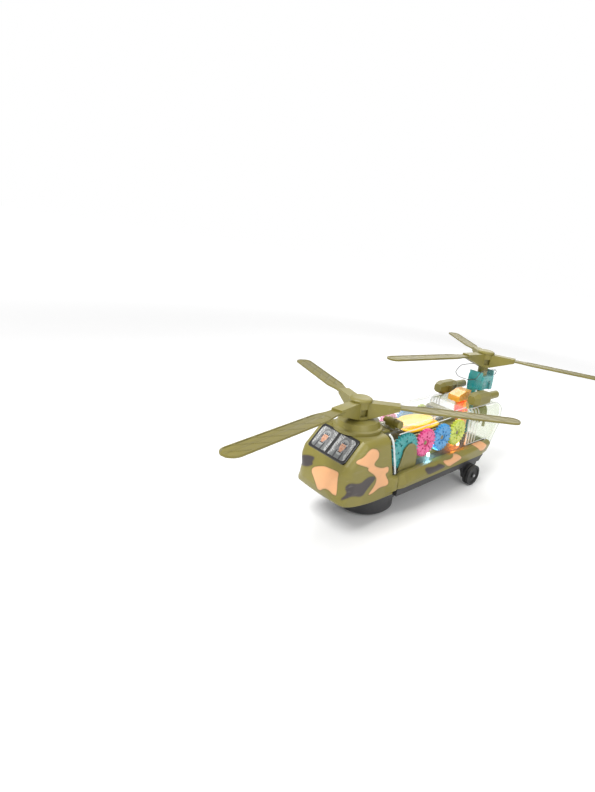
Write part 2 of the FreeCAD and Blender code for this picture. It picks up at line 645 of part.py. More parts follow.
def mastBracket():
    body = newBody("mast_bracket")
    block = box("-size.rear_mast - 11", "-size.rear_mast + 12", "-11", "11")
    pad(body, outline(body, "XY", block, "101"), "17")
    leg = box("-163", "-160", "size.deck_top", "103")
    pad(body, outline(body, "XZ", leg), "12", middle=True)
    arm = box("-size.rear_mast + 11", "-160", "101", "104")
    pad(body, outline(body, "XZ", arm), "12", middle=True)
    bearing = circles(body, "YZ", [("0", "size.drive_height", "size.drive_radius + size.running_gap")],
                      "-170")
    pocket(body, bearing, "20", flip=True)
    ears = [box("-size.rear_mast + 12", "-size.rear_mast + 14", "113", "123"),
            box("-size.rear_mast - 13.4", "-size.rear_mast - 11", "111", "124")]
    for ear in ears:
        pad(body, outline(body, "XZ", ear), "18", middle=True)
    bore = circles(body, "XY", [("-size.rear_mast", "0", "size.shaft_radius + size.running_gap")],
                   "90")
    pocket(body, bore, "40", flip=True)
    step = box("-size.rear_mast - 5", "-size.rear_mast + 7", "100", "112")
    notch = outline(body, "XZ", step, "-12")
    pocket(body, notch, "3.4", flip=True)
    mast = newBody("rear_mast")
    tube = [("-size.rear_mast", "0", "6"),
            ("-size.rear_mast", "0", "size.shaft_radius + size.running_gap")]
    pad(mast, circles(mast, "XY", tube, "118"), "10.3")


def ledLamps():
    lamps = []
    for x, y, z in (("-62.3", "24", "48"), ("-62.3", "-24", "48"), ("-116", "24", "48"),
                    ("-116", "-24", "48"), ("-128", "0", "48"), ("-28", "0", "48")):
        stem = primitive("Cylinder", "lampStem", Radius="1.5", Height="2.6")
        bulb = primitive("Sphere", "lampBulb", Radius="1.5")
        place(stem, x, y, "size.deck_top")
        place(bulb, x, y, z + ".6")
        lamps += [fused([stem, bulb])]
    keep(doc.addObject("Part::Compound", "led_lamps"), "led_lamps").Links = lamps


# ------------------------------------------------------------------ gears

def toothOutline(teeth, module, slack=0.06):
    """One involute tooth on +X as corners in millimetres, from inside the root to the tip."""
    pitch = teeth * module / 2
    base = pitch * math.cos(math.radians(20))
    root = pitch - 1.25 * module
    tip = pitch + 0.95 * module
    pressure = math.radians(20)
    half = math.pi / teeth / 2 * (1 - slack * 2) + math.tan(pressure) - pressure

    def spread(radius):
        lean = math.acos(min(1, base / radius))
        return half - (math.tan(lean) - lean)
    radii = [root - 0.4, max(root, base), pitch, (pitch + tip) / 2, tip]
    flank = [(r, spread(max(r, base))) for r in radii]
    points = [(r * math.cos(a), -r * math.sin(a)) for r, a in flank]
    points += [(r * math.cos(a), r * math.sin(a)) for r, a in reversed(flank)]
    return root, [(f"{x:.4f}", f"{y:.4f}") for x, y in points]


def rootDisc(body, teeth, module, thick, offset):
    root = toothOutline(teeth, module)[0]
    pad(body, circles(body, "XZ", [("0", "0", f"{root:.4f}")], offset), thick)


def toothRing(body, teeth, module, thick, offset):
    """Ring of teeth about Y on the root disc."""
    tooth = toothOutline(teeth, module)[1]
    first = pad(body, outline(body, "XZ", tooth, offset), thick)
    around(body, first, "Y", str(teeth))


def sideGear(name, teeth, x, z, side, turn):
    """Slotted gear on one side of an axle, its hub recess facing outwards."""
    body = newBody(name)
    count = int(round(val(teeth)))
    rootDisc(body, count, val("size.gear_module"), "size.gear_thick", "0")
    bore = circles(body, "XZ", [("0", "0", "size.axle_radius")])
    pocket(body, bore, "30", middle=True)
    # the sketch plane looks along -Y, so the +Y face is at offset 0
    face = circles(body, "XZ", [("0", "0", "size.gear_recess")], "0" if side > 0 else "size.gear_thick - 2")
    pocket(body, face, "2" if side > 0 else "3", flip=True)
    slots = [("5.4", "7.8", "-1.1", "1.1"), ("9.2", "11.4", "-0.6", "0.6")]
    for low, high, left, right in slots:
        reach = val("size.gear_module") * (count - 24) / 2
        edge = box(f"{low} + {reach:.3f}", f"{high} + {reach:.3f}", left, right)
        cut = pocket(body, outline(body, "XZ", edge), "30", middle=True)
        around(body, cut, "Y", "8")
    toothRing(body, count, val("size.gear_module"), "size.gear_thick", "0")
    where = "size.gear_face" if side > 0 else "-size.gear_face + size.gear_thick"
    place(body, x, where, z, Vector(0, 1, 0), str(turn))


def gearAxle(name, x, z):
    body = newBody(name)
    rod = circles(body, "XZ", [("0", "0", "size.axle_radius")])
    pad(body, rod, "2 * (size.gear_face - 1)", middle=True)
    place(body, x, "0", z)


def gearTrain():
    """Teal, pink, blue and lime pairs in mesh from front to rear."""
    pitch = 360 / val("size.gear_teeth")
    lean = math.degrees(math.atan2(val("size.gear_height - size.teal_height"), val(TEAL_AHEAD)))
    # a tooth meets a gap on each line of centres
    ratio = val("size.gear_teeth / size.teal_teeth")
    tealTurn = -(180 - lean * (1 + ratio) + 180 / val("size.teal_teeth"))
    rows = [("teal", "size.teal_teeth", "-size.pink_axis + " + TEAL_AHEAD, "size.teal_height", tealTurn),
            ("pink", "size.gear_teeth", "-size.pink_axis", "size.gear_height", 0),
            ("blue", "size.gear_teeth",
             "-size.pink_axis - size.gear_module * size.gear_teeth", "size.gear_height", pitch / 2),
            ("lime", "size.gear_teeth",
             "-size.pink_axis - 2 * size.gear_module * size.gear_teeth", "size.gear_height", 0)]
    for colour, teeth, x, z, turn in rows:
        gearAxle(colour + "_axle", x, z)
        sideGear(colour + "_gear_left", teeth, x, z, 1, turn)
        sideGear(colour + "_gear_right", teeth, x, z, -1, turn)


def driveShaft():
    """Lengthwise shaft with a pinion at each end, teeth upwards under the crown gears."""
    body = newBody("sync_shaft")
    pitch = "0.5 * size.crown_module * size.crown_teeth"
    front = f"size.front_mast - {pitch}"
    rear = f"-size.rear_mast + {pitch}"
    rod = circles(body, "YZ", [("0", "0", "size.drive_radius")], rear + " - 1.3")
    pad(body, rod, f"{front} - ({rear}) + 2.6")
    tooth = [("2", "-1.1"), ("3.2", "-0.85"), ("4.4", "-0.5"), ("5.2", "-0.28"),
             ("5.2", "0.28"), ("4.4", "0.5"), ("3.2", "0.85"), ("2", "1.1")]
    upright = [(y, x) for x, y in tooth]
    for start in (front, rear):
        pad(body, circles(body, "YZ", [("0", "0", "3.2")], start + " - 1.3"), "2.6")
        first = pad(body, outline(body, "YZ", upright, start + " - 1.3"), "2.6")
        around(body, first, "X", "size.pinion_teeth")
    place(body, "0", "0", "size.drive_height")


# ------------------------------------------------------------------ rotors

def rotorHub(name, x, z, turn):
    body = newBody(name)
    pad(body, circles(body, "XY", [("0", "0", "size.hub_radius")], "-size.hub_drop"),
        "size.hub_drop + size.hub_rise")
    arm = [("4", "size.hub_rise - 0.4"), ("size.arm_tip", "size.hub_rise - 0.4"),
           ("size.arm_tip", "-2.2"), ("size.hub_radius", "-size.hub_drop + 0.6"),
           ("4", "-size.hub_drop + 0.6")]
    first = pad(body, outline(body, "XZ", arm), "size.arm_width", middle=True)
    around(body, first, "Z", "3")
    slot = box("size.blade_root", "size.arm_tip + 1", "-0.5 * size.blade_thick",
               "0.5 * size.blade_thick")
    cut = pocket(body, outline(body, "XZ", slot), "size.arm_width - 2.6", middle=True)
    around(body, cut, "Z", "3")
    window = box("-size.hub_radius - 1", "-5.5", "-10.5", "-3.5")
    cut = pocket(body, outline(body, "XZ", window), "7", middle=True)
    around(body, cut, "Z", "3")
    bore = circles(body, "XY", [("0", "0", "size.shaft_radius")], "-size.hub_drop - 1")
    pocket(body, bore, "size.hub_drop + 1", flip=True)
    place(body, x, "0", z, Vector(0, 0, 1), turn)


def rotorCap(name, x, z):
    body = newBody(name)
    turned(body, [("0", "size.hub_rise"), ("size.cap_radius", "size.hub_rise"),
                  ("size.cap_radius", "size.hub_rise + 1.4", "5", 1),
                  ("size.cap_radius - 3", "size.hub_rise + size.cap_height - 0.4"),
                  ("0", "size.hub_rise + size.cap_height")])
    place(body, x, "0", z)


def rotorBlade(name, x, z, turn):
    body = newBody(name)
    neck = "0.5 * (size.arm_width - 2.6)"
    half = "0.5 * size.blade_chord"
    plan = [("size.blade_root", "-" + neck), ("size.arm_tip + 0.2", "-" + neck),
            ("size.arm_tip + 0.2", "-0.5 * size.neck_width"),
            ("size.arm_tip + 22", "-" + half),
            ("size.blade_tip - 0.5 * size.blade_chord", "-" + half, "0.5 * size.blade_chord + 0.2", 1),
            ("size.blade_tip - 0.5 * size.blade_chord", half),
            ("size.arm_tip + 22", half), ("size.arm_tip + 0.2", "0.5 * size.neck_width"),
            ("size.arm_tip + 0.2", neck), ("size.blade_root", neck)]
    pad(body, outline(body, "XY", plan), "size.blade_thick", middle=True)
    place(body, x, "0", z, Vector(0, 0, 1), turn)


def rotorShaft(name, x, z):
    """Shaft from the crown gear up into the hub."""
    body = newBody(name)
    teeth = val("size.crown_teeth")
    pitch = val("size.crown_module") * teeth / 2
    face = "size.drive_height + 5.6"
    rod = circles(body, "XY", [("0", "0", "size.shaft_radius")], face)
    pad(body, rod, f"{z} - ({face})")
    pad(body, circles(body, "XY", [("0", "0", f"{pitch + 1.7:.3f}")], face), "2.6")
    pad(body, circles(body, "XY", [("0", "0", "4.5")], face), "5")
    inner = pitch - 1.5
    outer = pitch + 1.5
    wide = math.pi / teeth
    corners = []
    for radius, half in ((inner, 0.42), (outer, 0.47)):
        corners += [(radius, -half), (radius, half)]
    order = (0, 2, 3, 1)
    phased = [(corners[i][0] * math.cos(wide) - corners[i][1] * math.sin(wide),
                 corners[i][0] * math.sin(wide) + corners[i][1] * math.cos(wide)) for i in order]
    tooth = [(f"{a:.4f}", f"{b:.4f}") for a, b in phased]
    first = pad(body, outline(body, "XY", tooth, face), "2.1", flip=True)
    around(body, first, "Z", "size.crown_teeth")
    place(body, x)


def rotor(prefix, x, z, turn):
    rotorHub(prefix + "_rotor_hub", x, z, turn)
    rotorCap(prefix + "_rotor_cap", x, z)
    rotorShaft(prefix + "_rotor_shaft", x, z)
    for i in range(3):
        rotorBlade(f"{prefix}_blade_{i + 1}", x, z, f"{turn} + {120 * i}")


# ------------------------------------------------------------------ ground gear

def turntable():
    body = newBody("turntable_drum")
    turned(body, [("0", "size.drum_low"), ("size.drum_radius - 1.5", "size.drum_low"),
                  ("size.drum_radius", "size.drum_low + 1.5"), ("size.drum_radius", "size.drum_top"),
                  ("size.spigot_radius", "size.drum_top"), ("size.spigot_radius", "size.floor_top + 0.3"),
                  ("size.spigot_radius + 1.4", "size.floor_top + 0.3"),
                  ("size.spigot_radius", "size.floor_top + 2.2"), ("0", "size.floor_top + 2.2")])
    room = circles(body, "XY", [("0", "0", "size.drum_radius - 2.2")], "size.drum_low + 1.8")
    pocket(body, room, "size.drum_top - size.drum_low - 3.8", flip=True)
    for y in ("-16.6", "9.4"):
        slot = box("-10", "10", y, f"{y} + 7.2")
        pocket(body, outline(body, "XY", slot, "0"), "size.drum_low + 3", flip=True)
    for y in ("-8.5", "5.5"):
        post = box("-3.4", "3.4", "size.drum_low + 1.7", "12")
        pad(body, outline(body, "XZ", post, y), "3")
    bore = circles(body, "XZ", [("0", "size.drive_wheel", "1.5 + size.running_gap")])
    pocket(body, bore, "20", middle=True)


def drivingWheels():
    body = newBody("drive_wheels")
    pad(body, circles(body, "XZ", [("0", "0", "1.5")]), "34", middle=True)
    for y in ("-16", "10"):
        pad(body, circles(body, "XZ", [("0", "0", "size.drive_wheel")], y), "6")
    place(body, "0", "0", "size.drive_wheel")


def rearWheels():
    axle = newBody("rear_axle")
    pad(axle, circles(axle, "XZ", [("0", "0", "size.rear_axle_radius")]), "91", middle=True)
    place(axle, "-size.rear_axle", "0", "size.rear_wheel")
    for name, side in (("rear_wheel_left", "1"), ("rear_wheel_right", "-1")):
        wheel = newBody(name)
        pad(wheel, circles(wheel, "XZ", [("0", "0", "size.rear_wheel")]), "7.6", middle=True)
        groove = circles(wheel, "XZ", [("0", "0", "size.rear_wheel + 1"),
                                       ("0", "0", "size.rear_wheel - 1.6")])
        pocket(wheel, groove, "1.2", middle=True)
        dish = circles(wheel, "XZ", [("0", "0", "size.rear_wheel - 2.6"), ("0", "0", "3.4")],
                       "-3.8" if side == "1" else "3.8")
        pocket(wheel, dish, "1", flip=side == "1")
        bore = circles(wheel, "XZ", [("0", "0", "size.rear_axle_radius + size.running_gap")])
        pocket(wheel, bore, "20", middle=True)
        place(wheel, "-size.rear_axle", side + " * 40.6", "size.rear_wheel")


hullTray()
batteryBay()
electronics()
powerSwitch()
noseShell()
windscreen()
turret()
roofNub()
sponson("left_sponson", "1")
sponson("right_sponson", "-1")
gearDeck()
archPanel("left_arch_panel", 1)
archPanel("right_arch_panel", -1)
clearCover()
tailCover()
pylonCover()
enginePod("left_engine_pod", 1)
enginePod("right_engine_pod", -1)
tailDoor()
gearFrame()
lightDish()
motorCover()
rearGearbox()
redGear()
mastBracket()
ledLamps()
gearTrain()
driveShaft()
rotor("front", "size.front_mast", "size.front_blades", "size.front_turn")
rotor("rear", "-size.rear_mast", "size.rear_blades", "size.rear_turn")
turntable()
drivingWheels()
rearWheels()
doc.recompute()

for item in doc.Objects:
    if any(flag in ("Invalid", "Error") for flag in item.State):
        raise ValueError(item.Label + " is " + ", ".join(item.State))
for name, item in nodes:
    if item.Shape.isNull() or not item.Shape.isValid():
        raise ValueError(name + " has no valid shape")
    item.Shape.exportStep(f"parts/{name}.step")
print(len(nodes), "sub-parts written")
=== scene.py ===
import json
import math
import bmesh
import bpy
import numpy as np
from mathutils import Matrix, Vector


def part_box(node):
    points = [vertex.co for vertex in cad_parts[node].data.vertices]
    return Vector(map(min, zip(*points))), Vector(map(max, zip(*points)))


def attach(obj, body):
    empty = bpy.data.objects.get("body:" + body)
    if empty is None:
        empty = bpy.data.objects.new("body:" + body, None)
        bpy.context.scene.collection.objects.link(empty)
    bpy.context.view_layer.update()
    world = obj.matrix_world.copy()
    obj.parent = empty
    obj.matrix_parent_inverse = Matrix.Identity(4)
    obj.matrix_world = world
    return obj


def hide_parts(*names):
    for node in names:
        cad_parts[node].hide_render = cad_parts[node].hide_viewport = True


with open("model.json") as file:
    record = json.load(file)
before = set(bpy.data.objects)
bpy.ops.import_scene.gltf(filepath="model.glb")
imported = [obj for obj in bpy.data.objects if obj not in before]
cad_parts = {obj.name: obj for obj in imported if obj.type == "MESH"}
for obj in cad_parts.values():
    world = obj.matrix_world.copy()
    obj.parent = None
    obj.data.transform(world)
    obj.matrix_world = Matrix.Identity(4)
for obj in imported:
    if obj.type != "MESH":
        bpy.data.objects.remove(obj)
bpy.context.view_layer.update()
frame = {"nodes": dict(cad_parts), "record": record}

mm = 0.001
nodes = frame["nodes"]


def edges(node):
    # lowest and highest corner of a carried-over part, in millimetres
    low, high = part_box(node)
    return np.array(low) / mm, np.array(high) / mm


def tint(r, g, b):
    # a colour given as screen values from 0 to 255, turned to the linear ones that shaders want
    steps = np.array([r, g, b]) / 255.0
    linear = np.where(steps <= 0.04045, steps / 12.92, ((steps + 0.055) / 1.055) ** 2.4)
    return (float(linear[0]), float(linear[1]), float(linear[2]), 1.0)


def addObject(name, data):
    made = bpy.data.objects.new(name, data)
    bpy.context.scene.collection.objects.link(made)
    return made


# shader groups
def newGroup(name, inputs, outputs):
    group = bpy.data.node_groups.new(name, "ShaderNodeTree")
    kinds = {"colour": "NodeSocketColor", "value": "NodeSocketFloat", "vector": "NodeSocketVector"}
    for label, kind, start in inputs:
        socket = group.interface.new_socket(name=label, in_out="INPUT", socket_type=kinds[kind])
        socket.default_value = start
    for label, kind in outputs:
        group.interface.new_socket(name=label, in_out="OUTPUT", socket_type=kinds[kind])
    return group, group.nodes.new("NodeGroupInput"), group.nodes.new("NodeGroupOutput")


def feed(tree, node, values):
    # an input is linked where its value comes from another node, and set where it is a plain value
    for key, value in values.items():
        if isinstance(value, bpy.types.NodeSocket):
            tree.links.new(value, node.inputs[key])
        else:
            node.inputs[key].default_value = value
    return node


def addNode(tree, kind, values=None, **settings):
    node = tree.nodes.new("ShaderNode" + kind)
    for key, value in settings.items():
        setattr(node, key, value)
    return feed(tree, node, values or {})


def mathNode(tree, operation, *items, clamp=False):
    return addNode(tree, "Math", dict(enumerate(items)), operation=operation, use_clamp=clamp).outputs[0]


def mixColour(tree, factor, a, b):
    return addNode(tree, "Mix", {0: factor, 6: a, 7: b}, data_type="RGBA").outputs[2]


def ramped(tree, item, low, high, start=0.0, end=1.0):
    limits = {"Value": item, "From Min": low, "From Max": high, "To Min": start, "To Max": end}
    return addNode(tree, "MapRange", limits, interpolation_type="SMOOTHSTEP").outputs[0]


def noise(tree, place, scale, detail, rough=0.5):
    values = {"Vector": place, "Scale": scale, "Detail": detail, "Roughness": rough}
    return addNode(tree, "TexNoise", values).outputs[0]


def objectPlace(tree):
    return addNode(tree, "TexCoord").outputs["Object"]


def buildMouldedGroup():
    # moulded plastic: fine grain, slow colour drift, faint flow streaks and a little settled dust
    group, source, sink = newGroup("mouldedPlastic", [
        ("Colour", "colour", (0.5, 0.5, 0.5, 1)), ("Drift", "value", 0.2), ("Grain Size", "value", 900.0),
        ("Roughness", "value", 0.4), ("Dust", "value", 0.15)],
        [("Colour", "colour"), ("Roughness", "value"), ("Height", "value")])
    given, place = source.outputs, objectPlace(group)
    stretched = addNode(group, "Mapping", {"Vector": place, "Scale": (30.0, 420.0, 420.0)}).outputs[0]
    fine = noise(group, place, given["Grain Size"], 3.0)
    slow = noise(group, place, 34.0, 4.0, 0.6)
    streak = noise(group, stretched, 1.0, 3.0)
    drift = mathNode(group, "MULTIPLY", ramped(group, slow, 0.3, 0.7), given["Drift"])
    darker = mixColour(group, drift, given["Colour"], (0.02, 0.02, 0.015, 1))
    normal = addNode(group, "NewGeometry").outputs["Normal"]
    upward = ramped(group, addNode(group, "SeparateXYZ", {0: normal}).outputs["Z"], 0.4, 1.0)
    settled = mathNode(group, "MULTIPLY", mathNode(group, "MULTIPLY", upward, given["Dust"]),
                       ramped(group, slow, 0.35, 0.75))
    dusty = mixColour(group, settled, darker, (0.62, 0.6, 0.54, 1))
    streaks = ramped(group, streak, 0.6, 0.78, 0.0, 0.045)
    finished = mixColour(group, streaks, dusty, (0.8, 0.78, 0.7, 1))
    uneven = mathNode(group, "MULTIPLY_ADD", fine, 0.1, given["Roughness"])
    rough = mathNode(group, "ADD", uneven, mathNode(group, "MULTIPLY", settled, 0.6), clamp=True)
    height = mathNode(group, "ADD", mathNode(group, "MULTIPLY", fine, 0.7),
                      mathNode(group, "MULTIPLY", streak, 0.3))
    feed(group, sink, {"Colour": finished, "Roughness": rough, "Height": height})
    return group


def buildCamouflageGroup():
    # print on plastic: two inks laid where their distance fields are negative, each with a darker rim
    group, source, sink = newGroup("camouflagePrint", [
        ("Base", "colour", (0.2, 0.2, 0.05, 1)), ("Peach", "colour", (0.8, 0.4, 0.2, 1)),
        ("Charcoal", "colour", (0.07, 0.06, 0.05, 1)), ("Peach Distance", "value", 5.0),
        ("Charcoal Distance", "value", 5.0)],
        [("Colour", "colour"), ("Ink", "value")])
    given = source.outputs
    wobble = noise(group, objectPlace(group), 260.0, 2.0)
    shake = mathNode(group, "MULTIPLY", mathNode(group, "SUBTRACT", wobble, 0.5), 0.5)
    colour = given["Base"]
    inks = []
    for ink in ("Charcoal", "Peach"):
        away = mathNode(group, "ADD", given[ink + " Distance"], shake)
        halo = mathNode(group, "MULTIPLY", ramped(group, away, 0.0, 1.6, 1.0, 0.0), 0.4)
        colour = mixColour(group, halo, colour, (0.08, 0.075, 0.012, 1))
        inside = ramped(group, away, -0.12, 0.12, 1.0, 0.0)
        edge = mathNode(group, "MULTIPLY", ramped(group, away, -1.3, -0.1), 0.28)
        body = mixColour(group, edge, given[ink], (0.16, 0.1, 0.04, 1))
        colour = mixColour(group, inside, colour, body)
        inks.append(inside)
    feed(group, sink, {"Colour": colour, "Ink": mathNode(group, "MAXIMUM", *inks)})
    return group


def buildBrushedGroup():
    # drawn metal: fine lines along the length and soft smudges
    group, source, sink = newGroup("drawnMetal", [
        ("Colour", "colour", (0.6, 0.6, 0.6, 1)), ("Roughness", "value", 0.3)],
        [("Colour", "colour"), ("Roughness", "value"), ("Height", "value")])
    given, place = source.outputs, objectPlace(group)
    stretched = addNode(group, "Mapping", {"Vector": place, "Scale": (60.0, 1500.0, 1500.0)}).outputs[0]
    lines = noise(group, stretched, 1.0, 4.0)
    shade = ramped(group, noise(group, place, 120.0, 3.0), 0.35, 0.7, 0.0, 0.35)
    smudged = mixColour(group, shade, given["Colour"], (0.2, 0.2, 0.2, 1))
    rough = mathNode(group, "MULTIPLY_ADD", lines, 0.25, given["Roughness"])
    feed(group, sink, {"Colour": smudged, "Roughness": rough, "Height": lines})
    return group


moulded = buildMouldedGroup()
camouflage = buildCamouflageGroup()
brushed = buildBrushedGroup()
print("shader groups ready")


# materials
def startMaterial(name):
    material = bpy.data.materials.new(name)
    material.use_nodes = True
    tree = material.node_tree
    return material, tree, tree.nodes["Principled BSDF"]


def placeGroup(tree, group, values):
    node = tree.nodes.new("ShaderNodeGroup")
    node.node_tree = group
    return feed(tree, node, values)


def addBump(tree, shader, height, strength, distance=0.0002):
    bump = addNode(tree, "Bump", {"Strength": strength, "Distance": distance, "Height": height})
    feed(tree, shader, {"Normal": bump.outputs[0]})


def wearFinish(tree, shader, finish, bump):
    # a finish group's outputs drive the shader; its height is left out where the bump is 0
    feed(tree, shader, {"Base Color": finish.outputs["Colour"], "Roughness": finish.outputs["Roughness"]})
    if bump:
        addBump(tree, shader, finish.outputs["Height"], bump)


def wearMoulded(tree, shader, colour, rough, drift, dust, grain, bump):
    finish = placeGroup(tree, moulded, {"Colour": colour, "Drift": drift, "Grain Size": grain,
                                        "Roughness": rough, "Dust": dust})
    wearFinish(tree, shader, finish, bump)
    return finish


def plasticMaterial(name, colour, rough=0.38, drift=0.2, dust=0.12, grain=900.0, bump=0.12, coat=0.0,
                    glow=0.0, through=0.0, sheer=0.0):
    material, tree, shader = startMaterial(name)
    finish = wearMoulded(tree, shader, colour, rough, drift, dust, grain, bump)
    if coat:
        feed(tree, shader, {"Coat Weight": coat, "Coat Roughness": 0.15})
    # painted glow: the plastic gives off its own colour as light, though it is no lamp
    if glow:
        feed(tree, shader, {"Emission Color": finish.outputs["Colour"], "Emission Strength": glow})
    if through:
        feed(tree, shader, {"Subsurface Weight": through, "Subsurface Radius": (0.006, 0.004, 0.002),
                            "Subsurface Scale": 0.5})
    if sheer:
        # thin translucent moulding: more see-through where it is met square on
        facing = addNode(tree, "LayerWeight", {"Blend": 0.4}).outputs["Facing"]
        feed(tree, shader, {"Alpha": ramped(tree, facing, 0.0, 0.9, 1.0 - sheer, 1.0)})
    return material


def clearMaterial(name, colour, thin=0.012, thick=0.5, rough=0.06):
    # clear moulding: almost nothing square on, brighter towards its edges, where a whitish opacity is painted
    # sheen in place of reflection
    material, tree, shader = startMaterial(name)
    wearMoulded(tree, shader, colour, rough, 0.03, 0.05, 260.0, 0.08)
    facing = addNode(tree, "LayerWeight", {"Blend": 0.35}).outputs["Facing"]
    feed(tree, shader, {"Alpha": ramped(tree, facing, 0.3, 1.0, thin, thick), "Specular IOR Level": 0.8,
                        "Coat Weight": 0.35, "Coat Roughness": 0.03})
    return material


def metalMaterial(name, colour, rough=0.25):
    material, tree, shader = startMaterial(name)
    finish = placeGroup(tree, brushed, {"Colour": colour, "Roughness": rough})
    wearFinish(tree, shader, finish, 0.1)
    feed(tree, shader, {"Metallic": 1.0})
    return material


finishes = {
    "olive": tint(128, 119, 50),
    "peach": tint(228, 170, 120),
    "charcoal": tint(64, 57, 56),
    "black": tint(42, 42, 44),
    "tread": tint(34, 34, 35),
    "dark_deck": tint(60, 62, 42),
    "teal": tint(24, 150, 150),
    "pink": tint(228, 66, 142),
    "blue": tint(36, 146, 206),
    "lime": tint(192, 206, 40),
    "yellow": tint(250, 200, 14),
    "orange": tint(244, 176, 46),
    "red": tint(228, 44, 34),
    "cream": tint(226, 220, 196),
    "steel": tint(188, 190, 194),
    "board": tint(30, 104, 56),
    "cell": tint(48, 104, 84),
}


def readValue(tree, label, output="Fac"):
    return addNode(tree, "Attribute", attribute_name=label).outputs[output]


def camouflageMaterial(name):
    # olive plastic printed with the two inks; the print sits a hair above the plastic
    material, tree, shader = startMaterial(name)
    printed = placeGroup(tree, camouflage, {
        "Base": finishes["olive"], "Peach": finishes["peach"], "Charcoal": finishes["charcoal"],
        "Peach Distance": readValue(tree, "peachDistance"),
        "Charcoal Distance": readValue(tree, "charcoalDistance")})
    finish = wearMoulded(tree, shader, printed.outputs["Colour"], 0.36, 0.16, 0.1, 900.0, 0.0)
    raised = mathNode(tree, "ADD", mathNode(tree, "MULTIPLY", finish.outputs["Height"], 0.5),
                      printed.outputs["Ink"])
    addBump(tree, shader, raised, 0.2, 0.00015)
    return material


def bladeMaterial(name):
    # olive plastic with painted shade in the grooves beside its ribs
    material, tree, shader = startMaterial(name)
    depth = mathNode(tree, "MULTIPLY", readValue(tree, "paintedGrooveShade"), 0.6, clamp=True)
    shaded = mixColour(tree, depth, tint(116, 107, 44), tint(58, 52, 18))
    wearMoulded(tree, shader, shaded, 0.4, 0.22, 0.06, 800.0, 0.16)
    return material


def pictureMaterial(name):
    # the windscreen print: its colours are painted on the surface, under a glossy film
    material, tree, shader = startMaterial(name)
    wearMoulded(tree, shader, readValue(tree, "picture", "Color"), 0.2, 0.1, 0.03, 1500.0, 0.06)
    feed(tree, shader, {"Coat Weight": 0.35, "Coat Roughness": 0.06})
    return material


def lampMaterial(name, colour, strength):
    # a lit diode with whiter patches; the diodes nearest the tail are amber
    material, tree, shader = startMaterial(name)
    place = objectPlace(tree)
    along = addNode(tree, "SeparateXYZ", {0: place}).outputs["X"]
    hue = mixColour(tree, ramped(tree, along, -0.1, -0.08, 1.0, 0.0), colour, (1.0, 0.32, 0.05, 1.0))
    hot = ramped(tree, noise(tree, place, 400.0, 1.0), 0.35, 0.75, 0.0, 0.7)
    glow = mixColour(tree, hot, hue, (1.0, 1.0, 1.0, 1.0))
    feed(tree, shader, {"Emission Color": glow, "Base Color": glow, "Emission Strength": strength,
                        "Roughness": 0.2})
    return material


# plastics by slot: name, then roughness, drift, dust, grain size, bump, coat, painted glow, light let in,
# sheerness; the glow is painted light, as these plastics are no lamps
plastics = {
    "olive": ("olivePlastic", 0.36),
    "black": ("blackPlastic", 0.34, 0.15, 0.05),
    "tread": ("tyreRubber", 0.6, 0.2, 0.12, 700.0, 0.35),
    "dark_deck": ("deckPlastic", 0.5, 0.3, 0.1),
    "teal": ("tealPlastic", 0.26, 0.12, 0.05, 700.0, 0.08, 0.4, 0.04),
    "pink": ("pinkPlastic", 0.26, 0.1, 0.05, 700.0, 0.08, 0.4, 0.03),
    "blue": ("bluePlastic", 0.26, 0.1, 0.05, 700.0, 0.08, 0.4, 0.06),
    "lime": ("limePlastic", 0.26, 0.1, 0.05, 700.0, 0.08, 0.4, 0.06),
    "yellow": ("yellowPlastic", 0.2, 0.08, 0.0, 500.0, 0.06, 0.3, 0.22, 0.4, 0.12),
    "orange": ("orangePlastic", 0.22, 0.08, 0.03, 500.0, 0.06, 0.5, 0.02, 0.4),
    "red": ("redPlastic", 0.2, 0.06, 0.02, 500.0, 0.06, 0.5, 0.5, 0.4),
    "cream": ("creamPlastic", 0.3, 0.1, 0.05),
    "board": ("boardLacquer", 0.3, 0.35, 0.05, 300.0, 0.3),
    "cell": ("cellSleeve", 0.25, 0.3, 0.02, 400.0, 0.05, 0.5),
}


def buildMaterials():
    made = {}
    for slotName, (name, *facts) in plastics.items():
        made[slotName] = plasticMaterial(name, finishes[slotName], *facts)
    made["blade"] = bladeMaterial("bladePlastic")
    made["steel"] = metalMaterial("bareSteel", finishes["steel"])
    made["clear"] = clearMaterial("clearPlastic", tint(236, 242, 240))
    made["lamp"] = lampMaterial("litDiode", (0.55, 0.85, 1.0, 1.0), 5.0)
    made["camouflage"] = camouflageMaterial("camouflagePlastic")
    made["print"] = pictureMaterial("windscreenPrint")
    made["smoked"] = clearMaterial("greenClearPlastic", tint(186, 206, 140), 0.13, 0.6)
    # rim beads: real edges of the clear covers, their whitish colour a painted highlight
    made["rim"] = clearMaterial("rimBeadPaintedHighlight", tint(235, 240, 240), 0.55, 0.95, 0.1)
    return made


materials = buildMaterials()
print("materials ready:", len(materials))


# mesh helpers
def gridFaces(rows, cols, wrapRows=False, wrapCols=False):
    index = np.arange(rows * cols).reshape(rows, cols)
    if wrapRows:
        index = np.vstack([index, index[:1]])
    if wrapCols:
        index = np.hstack([index, index[:, :1]])
    quads = np.stack([index[:-1, :-1], index[1:, :-1], index[1:, 1:], index[:-1, 1:]], -1)
    return quads.reshape(-1, 4)


